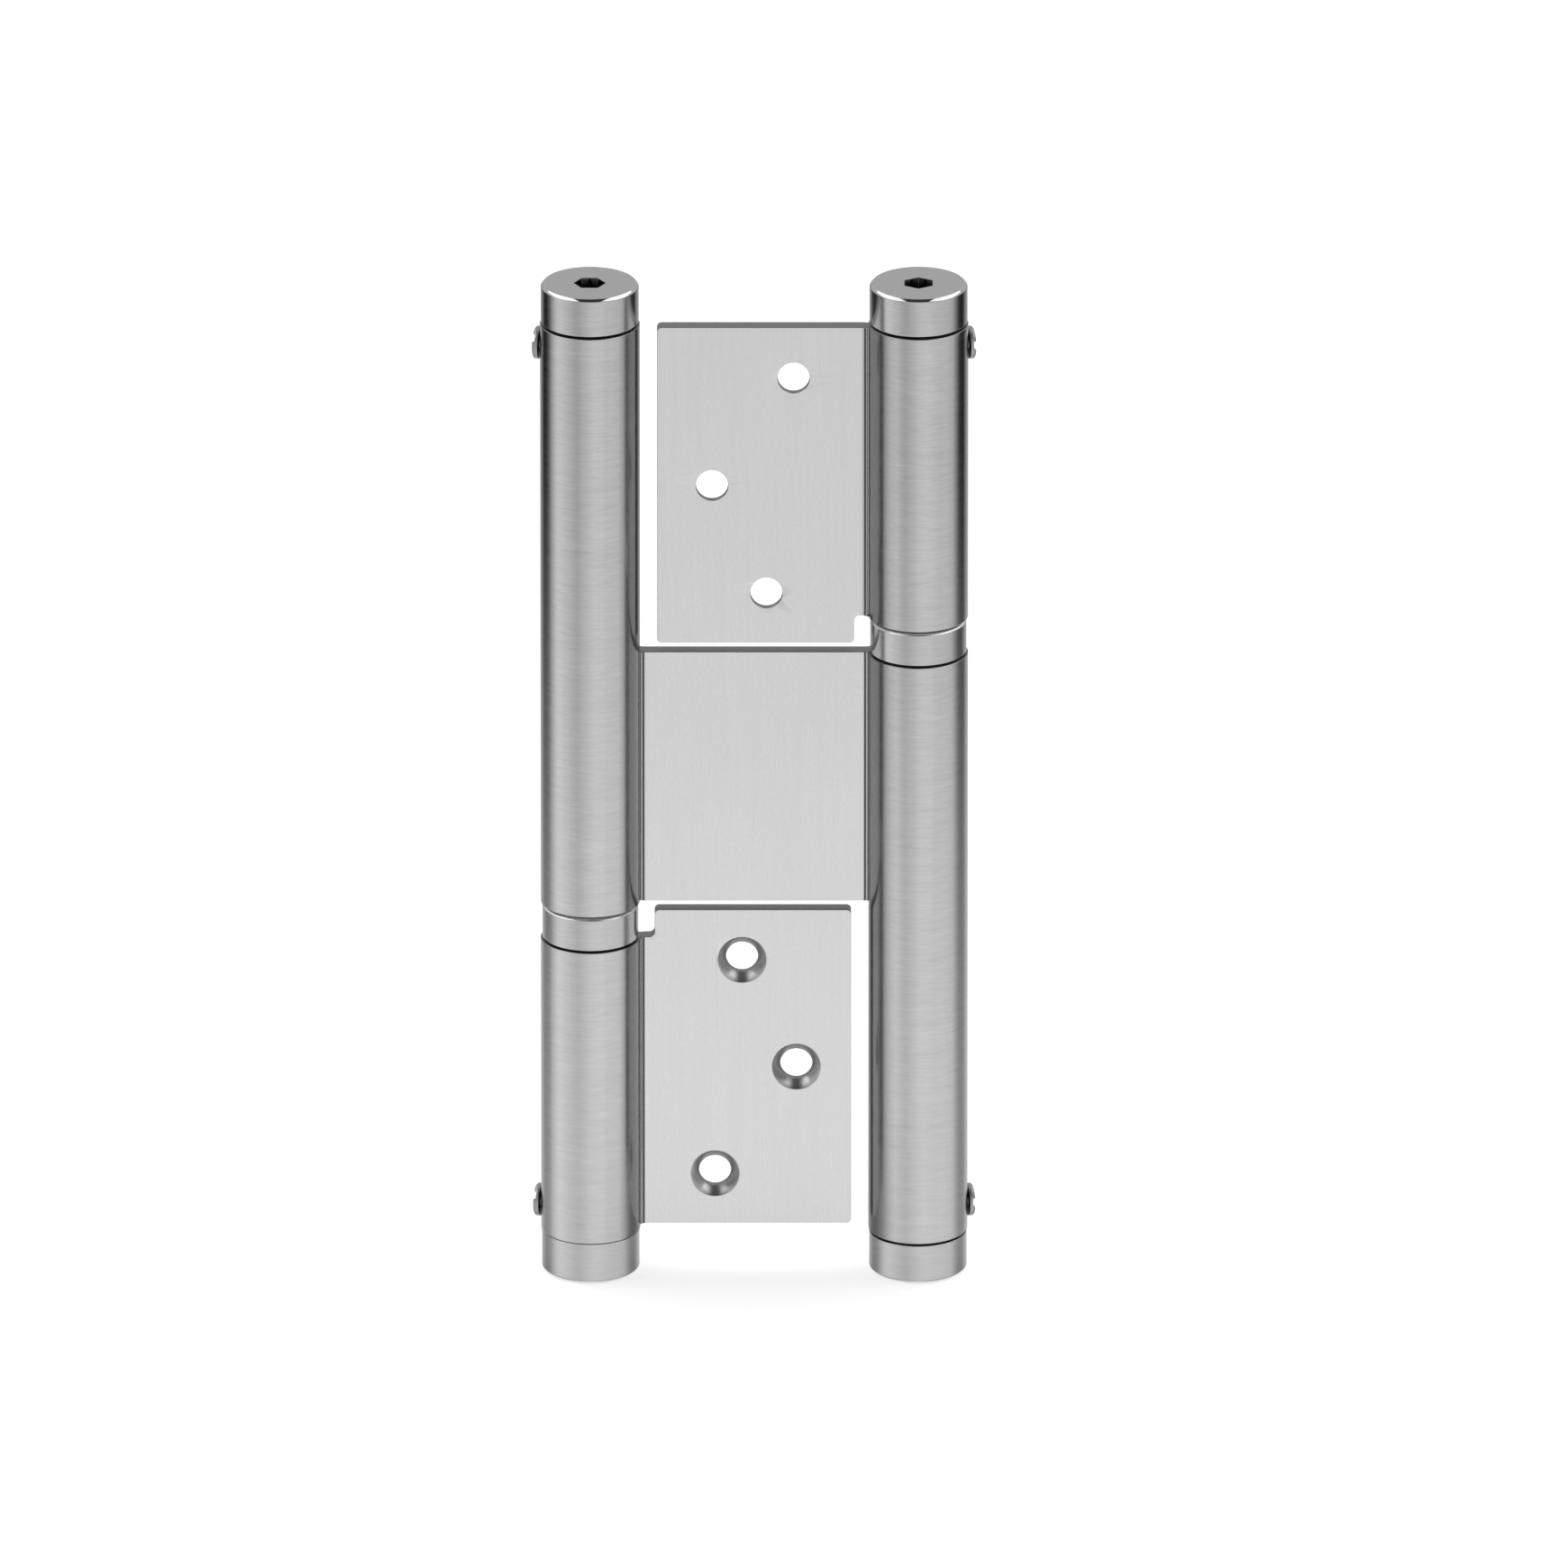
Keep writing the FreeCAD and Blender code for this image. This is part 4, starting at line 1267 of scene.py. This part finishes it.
@dataclass
class TorsionSpring(Part):
    """A close-wound torsion spring with a flat blade across each end. Sizes in millimetres."""

    side: Side = Side.LEFT
    outer_radius: float = 4.35
    wire: float = 1.5
    turn_gap: float = 0.12
    wire_sides: int = 10
    steps_per_turn: int = 24
    blade_depth: float = 3.85
    edges: EdgeBreak = EdgeBreak(0.1, sharper_than=math.radians(60))

    def coil(self, length: float) -> Workpiece:
        """Wind the wire.

        Args:
            length: The coil's length.

        Returns:
            The coil, from zero up.
        """
        piece = Workpiece()
        radius = self.wire / 2
        start = moved_by(self.outer_radius - radius, radius) @ turned_by(RIGHT_ANGLE, "X")
        bmesh.ops.create_circle(piece.mesh, segments=self.wire_sides, radius=radius, matrix=start)
        turns = round((length - self.wire) / (self.wire + self.turn_gap))
        pitch = Z_AXIS * (length - self.wire) / turns
        shape = [*piece.mesh.verts, *piece.mesh.edges]
        piece.sweep(shape, ORIGIN, FULL_TURN, self.steps_per_turn, pitch)
        piece.stack(turns, pitch)
        bmesh.ops.holes_fill(piece.mesh, edges=piece.mesh.edges, sides=self.wire_sides)
        piece.close_up()
        return piece

    def build(self) -> None:
        """Wind the spring between its two blades."""
        node = f"{self.side.word}_spring"
        low, high = levels(node)
        start, stop = low + self.blade_depth, high - self.blade_depth
        spring = self.coil(stop - start).moved(moved_by(z=start))
        depth = self.blade_depth + self.wire / 2
        size = Vector((2 * self.outer_radius - self.wire, self.wire, depth))
        for level in (low + depth / 2, high - depth / 2):
            spring.add(Workpiece.bar(size, Z_AXIS * level))
        place = moved_by(self.side.axis) @ turned_by(Shared.SLOT_TURNS[self.side], "Z")
        self.dress(spring, node, Slot.SPRING, place, self.edges)


class Hinge:
    """The whole hinge: its sub-assemblies, in the order in which they are made."""

    def __init__(self) -> None:
        """List the sub-assemblies."""
        self.parts: list[Part] = [
            MiddleLeaf(),
            ScrewLeaf(),
            ScrewLeaf(node="door_leaf", mount_prefix="door_hole", side=Side.LEFT, upside_down=True),
            EndPlug(),
            LockScrew(),
            BearingSet(side=Side.LEFT),
            BearingSet(side=Side.RIGHT),
            TorsionSpring(side=Side.LEFT),
            TorsionSpring(side=Side.RIGHT),
        ]

    def build(self) -> None:
        """Mix the finishes and build every sub-assembly with them."""
        materials = {slot: finish.material(f"{slot.value}_finish") for slot, finish in FINISHES.items()}
        for part in self.parts:
            part.materials = materials
            part.build()


# Studio


@dataclass(frozen=True)
class Softbox:
    """A soft lamp that hangs over the object and shines straight down. Sizes in metres."""

    name: str
    place: tuple[float, float, float]
    size: tuple[float, float]
    brightness: float

    def build(self) -> None:
        """Hang the lamp."""
        lamp = bpy.data.lights.new(self.name, "AREA")
        lamp.shape = "RECTANGLE"
        lamp.size, lamp.size_y = self.size
        lamp.energy = self.brightness * math.pi * lamp.size * lamp.size_y
        add_object(self.name, lamp).location = self.place


@dataclass(frozen=True)
class Studio:
    """A white room: floor, surroundings, lamps and camera.

    Sizes are in metres, the camera's aim is in millimetres, and heights and fronts are parts of a
    direction of length 1.
    """

    floor_half: float = 15.0
    floor_drop: float = 0.0003
    floor_tone: float = 0.88
    floor_lift: float = 0.55
    floor_echo: float = 0.3
    echo_reach: Marks = (0.05, 0.50)
    echo_lift: float = 0.6
    elevation: float = math.radians(21)
    distance: float = 12.0
    field_width: float = 0.28306
    view_depth: float = 200.0
    aim_right: float = 5.375
    aim_up: float = -1.53
    upper_tone: float = 0.55
    upper_height: Marks = (-0.09, 0.26)
    ceiling_tone: float = 0.04
    ceiling_height: Marks = (0.55, 0.8)
    ceiling_front: Marks = (-0.1, 0.3)
    softboxes: tuple[Softbox, ...] = (
        Softbox("left_softbox", (-0.95, 0.3, 1.2), (1.05, 1.8), 1.4),
        Softbox("right_softbox", (0.95, 0.3, 1.2), (1.05, 1.8), 1.4),
    )

    def surroundings(self) -> dict[float, float]:
        """Brightness of the room round the object, by the angle from the front in degrees."""
        return {
            -180: 0.8, -150: 0.30, -135: 0.03, -126: 0.0, -112: 0.08, -97: 0.50, -86: 0.80, -75: 0.87,
            -55: 0.72, -30: 0.52, -12: 0.66, 4: 0.80, 20: 0.82, 45: 0.74, 65: 0.70, 86: 0.62, 97: 0.28,
            110: 0.03, 126: 0.0, 150: 0.40, 180: 0.8,
        }

    def build_world(self) -> None:
        """Light walls and dark gaps round the object, and plain white behind it."""
        world = bpy.data.worlds.new("studio")
        bpy.context.scene.world = world
        graph = Graph(world)
        x, y, z = graph.axes(graph.node("TexCoord", output="Generated"))
        angle = graph.maths("ARCTAN2", x, 0 - y)
        stops = {0.5 + degrees / 360: tone for degrees, tone in self.surroundings().items()}
        walls = graph.node("ValToRGB", {"stops": stops}, {"Fac": 0.5 + angle / FULL_TURN})
        raised = z.step(self.upper_height)
        ceiling = z.step(self.ceiling_height) * (1 - y.step(self.ceiling_front))
        room = ceiling.blend(raised.blend(walls, self.upper_tone), self.ceiling_tone)
        behind = graph.node("LightPath", output="Is Camera Ray")
        inputs = {"Color": behind.blend(room, 1.0), "Strength": 1.0}
        light = graph.node("Background", inputs=inputs)
        graph.node("OutputWorld", inputs={"Surface": light})

    def floor_paint(self) -> bpy.types.Material:
        """Pale paint that the camera sees white and that is clear from below.

        Returns:
            The material, with its nodes.
        """
        material = bpy.data.materials.new("floor_paint")
        graph = Graph(material)
        place = graph.node("TexCoord", output="Object")
        away = graph.node("VectorMath", {"operation": "LENGTH"}, {0: place}, output="Value")
        rays = graph.node("LightPath", output="Is Camera Ray")
        glossy = rays.other("Is Glossy Ray")
        paint = graph.node("BsdfDiffuse", inputs={"Color": (*(self.floor_tone,) * 3, 1)})
        glow = self.floor_lift * rays + self.echo_lift * glossy
        lift = graph.node("Emission", inputs={"Color": glow, "Strength": 1.0})
        seen = graph.node("AddShader", inputs={0: paint, 1: lift})
        clear = graph.node("BsdfTransparent")
        echo = self.floor_echo * (1 - away.step(self.echo_reach))
        underside = graph.node("NewGeometry", output="Backfacing")
        solid = glossy.blend(1.0, echo) * (1 - underside)
        shader = graph.node("MixShader", inputs={0: solid, 1: clear, 2: seen})
        graph.node("OutputMaterial", inputs={"Surface": shader})
        return material

    def build_floor(self) -> None:
        """Lay the floor just below zero, where it takes a soft shadow."""
        sheet = Workpiece()
        bmesh.ops.create_grid(sheet.mesh, x_segments=1, y_segments=1, size=self.floor_half)
        data = sheet.moved(moved_by(z=-self.floor_drop)).as_mesh("floor")
        data.materials.append(self.floor_paint())
        add_object("floor", data)

    def build_camera(self) -> None:
        """A long lens in front of the hinge, looking a little down on it."""
        camera = bpy.data.cameras.new("camera")
        camera.lens = camera.sensor_width * self.distance / self.field_width
        camera.clip_end = self.view_depth
        up = Vector((0, math.sin(self.elevation), math.cos(self.elevation)))
        back = Vector((0, -math.cos(self.elevation), math.sin(self.elevation)))
        middle = Vector((0, 0, (CAD_BOX[0].z + CAD_BOX[1].z) / 2))
        aim = middle + X_AXIS * self.aim_right * MM + up * self.aim_up * MM
        item = add_object("camera", camera)
        item.location = aim + back * self.distance
        item.rotation_euler = (RIGHT_ANGLE - self.elevation, 0, 0)
        bpy.context.scene.camera = item

    def build(self) -> None:
        """Set up the whole studio."""
        bpy.context.scene.view_settings.view_transform = "Standard"
        self.build_world()
        self.build_floor()
        for softbox in self.softboxes:
            softbox.build()
        self.build_camera()
        log.info("studio: floor, surroundings, %d lamps and camera", len(self.softboxes))


def main() -> None:
    """Build the hinge, then the studio around it."""
    logging.basicConfig(level=logging.INFO, format="%(name)s: %(message)s")
    Hinge().build()
    Studio().build()


if __name__ == "__main__":
    main()
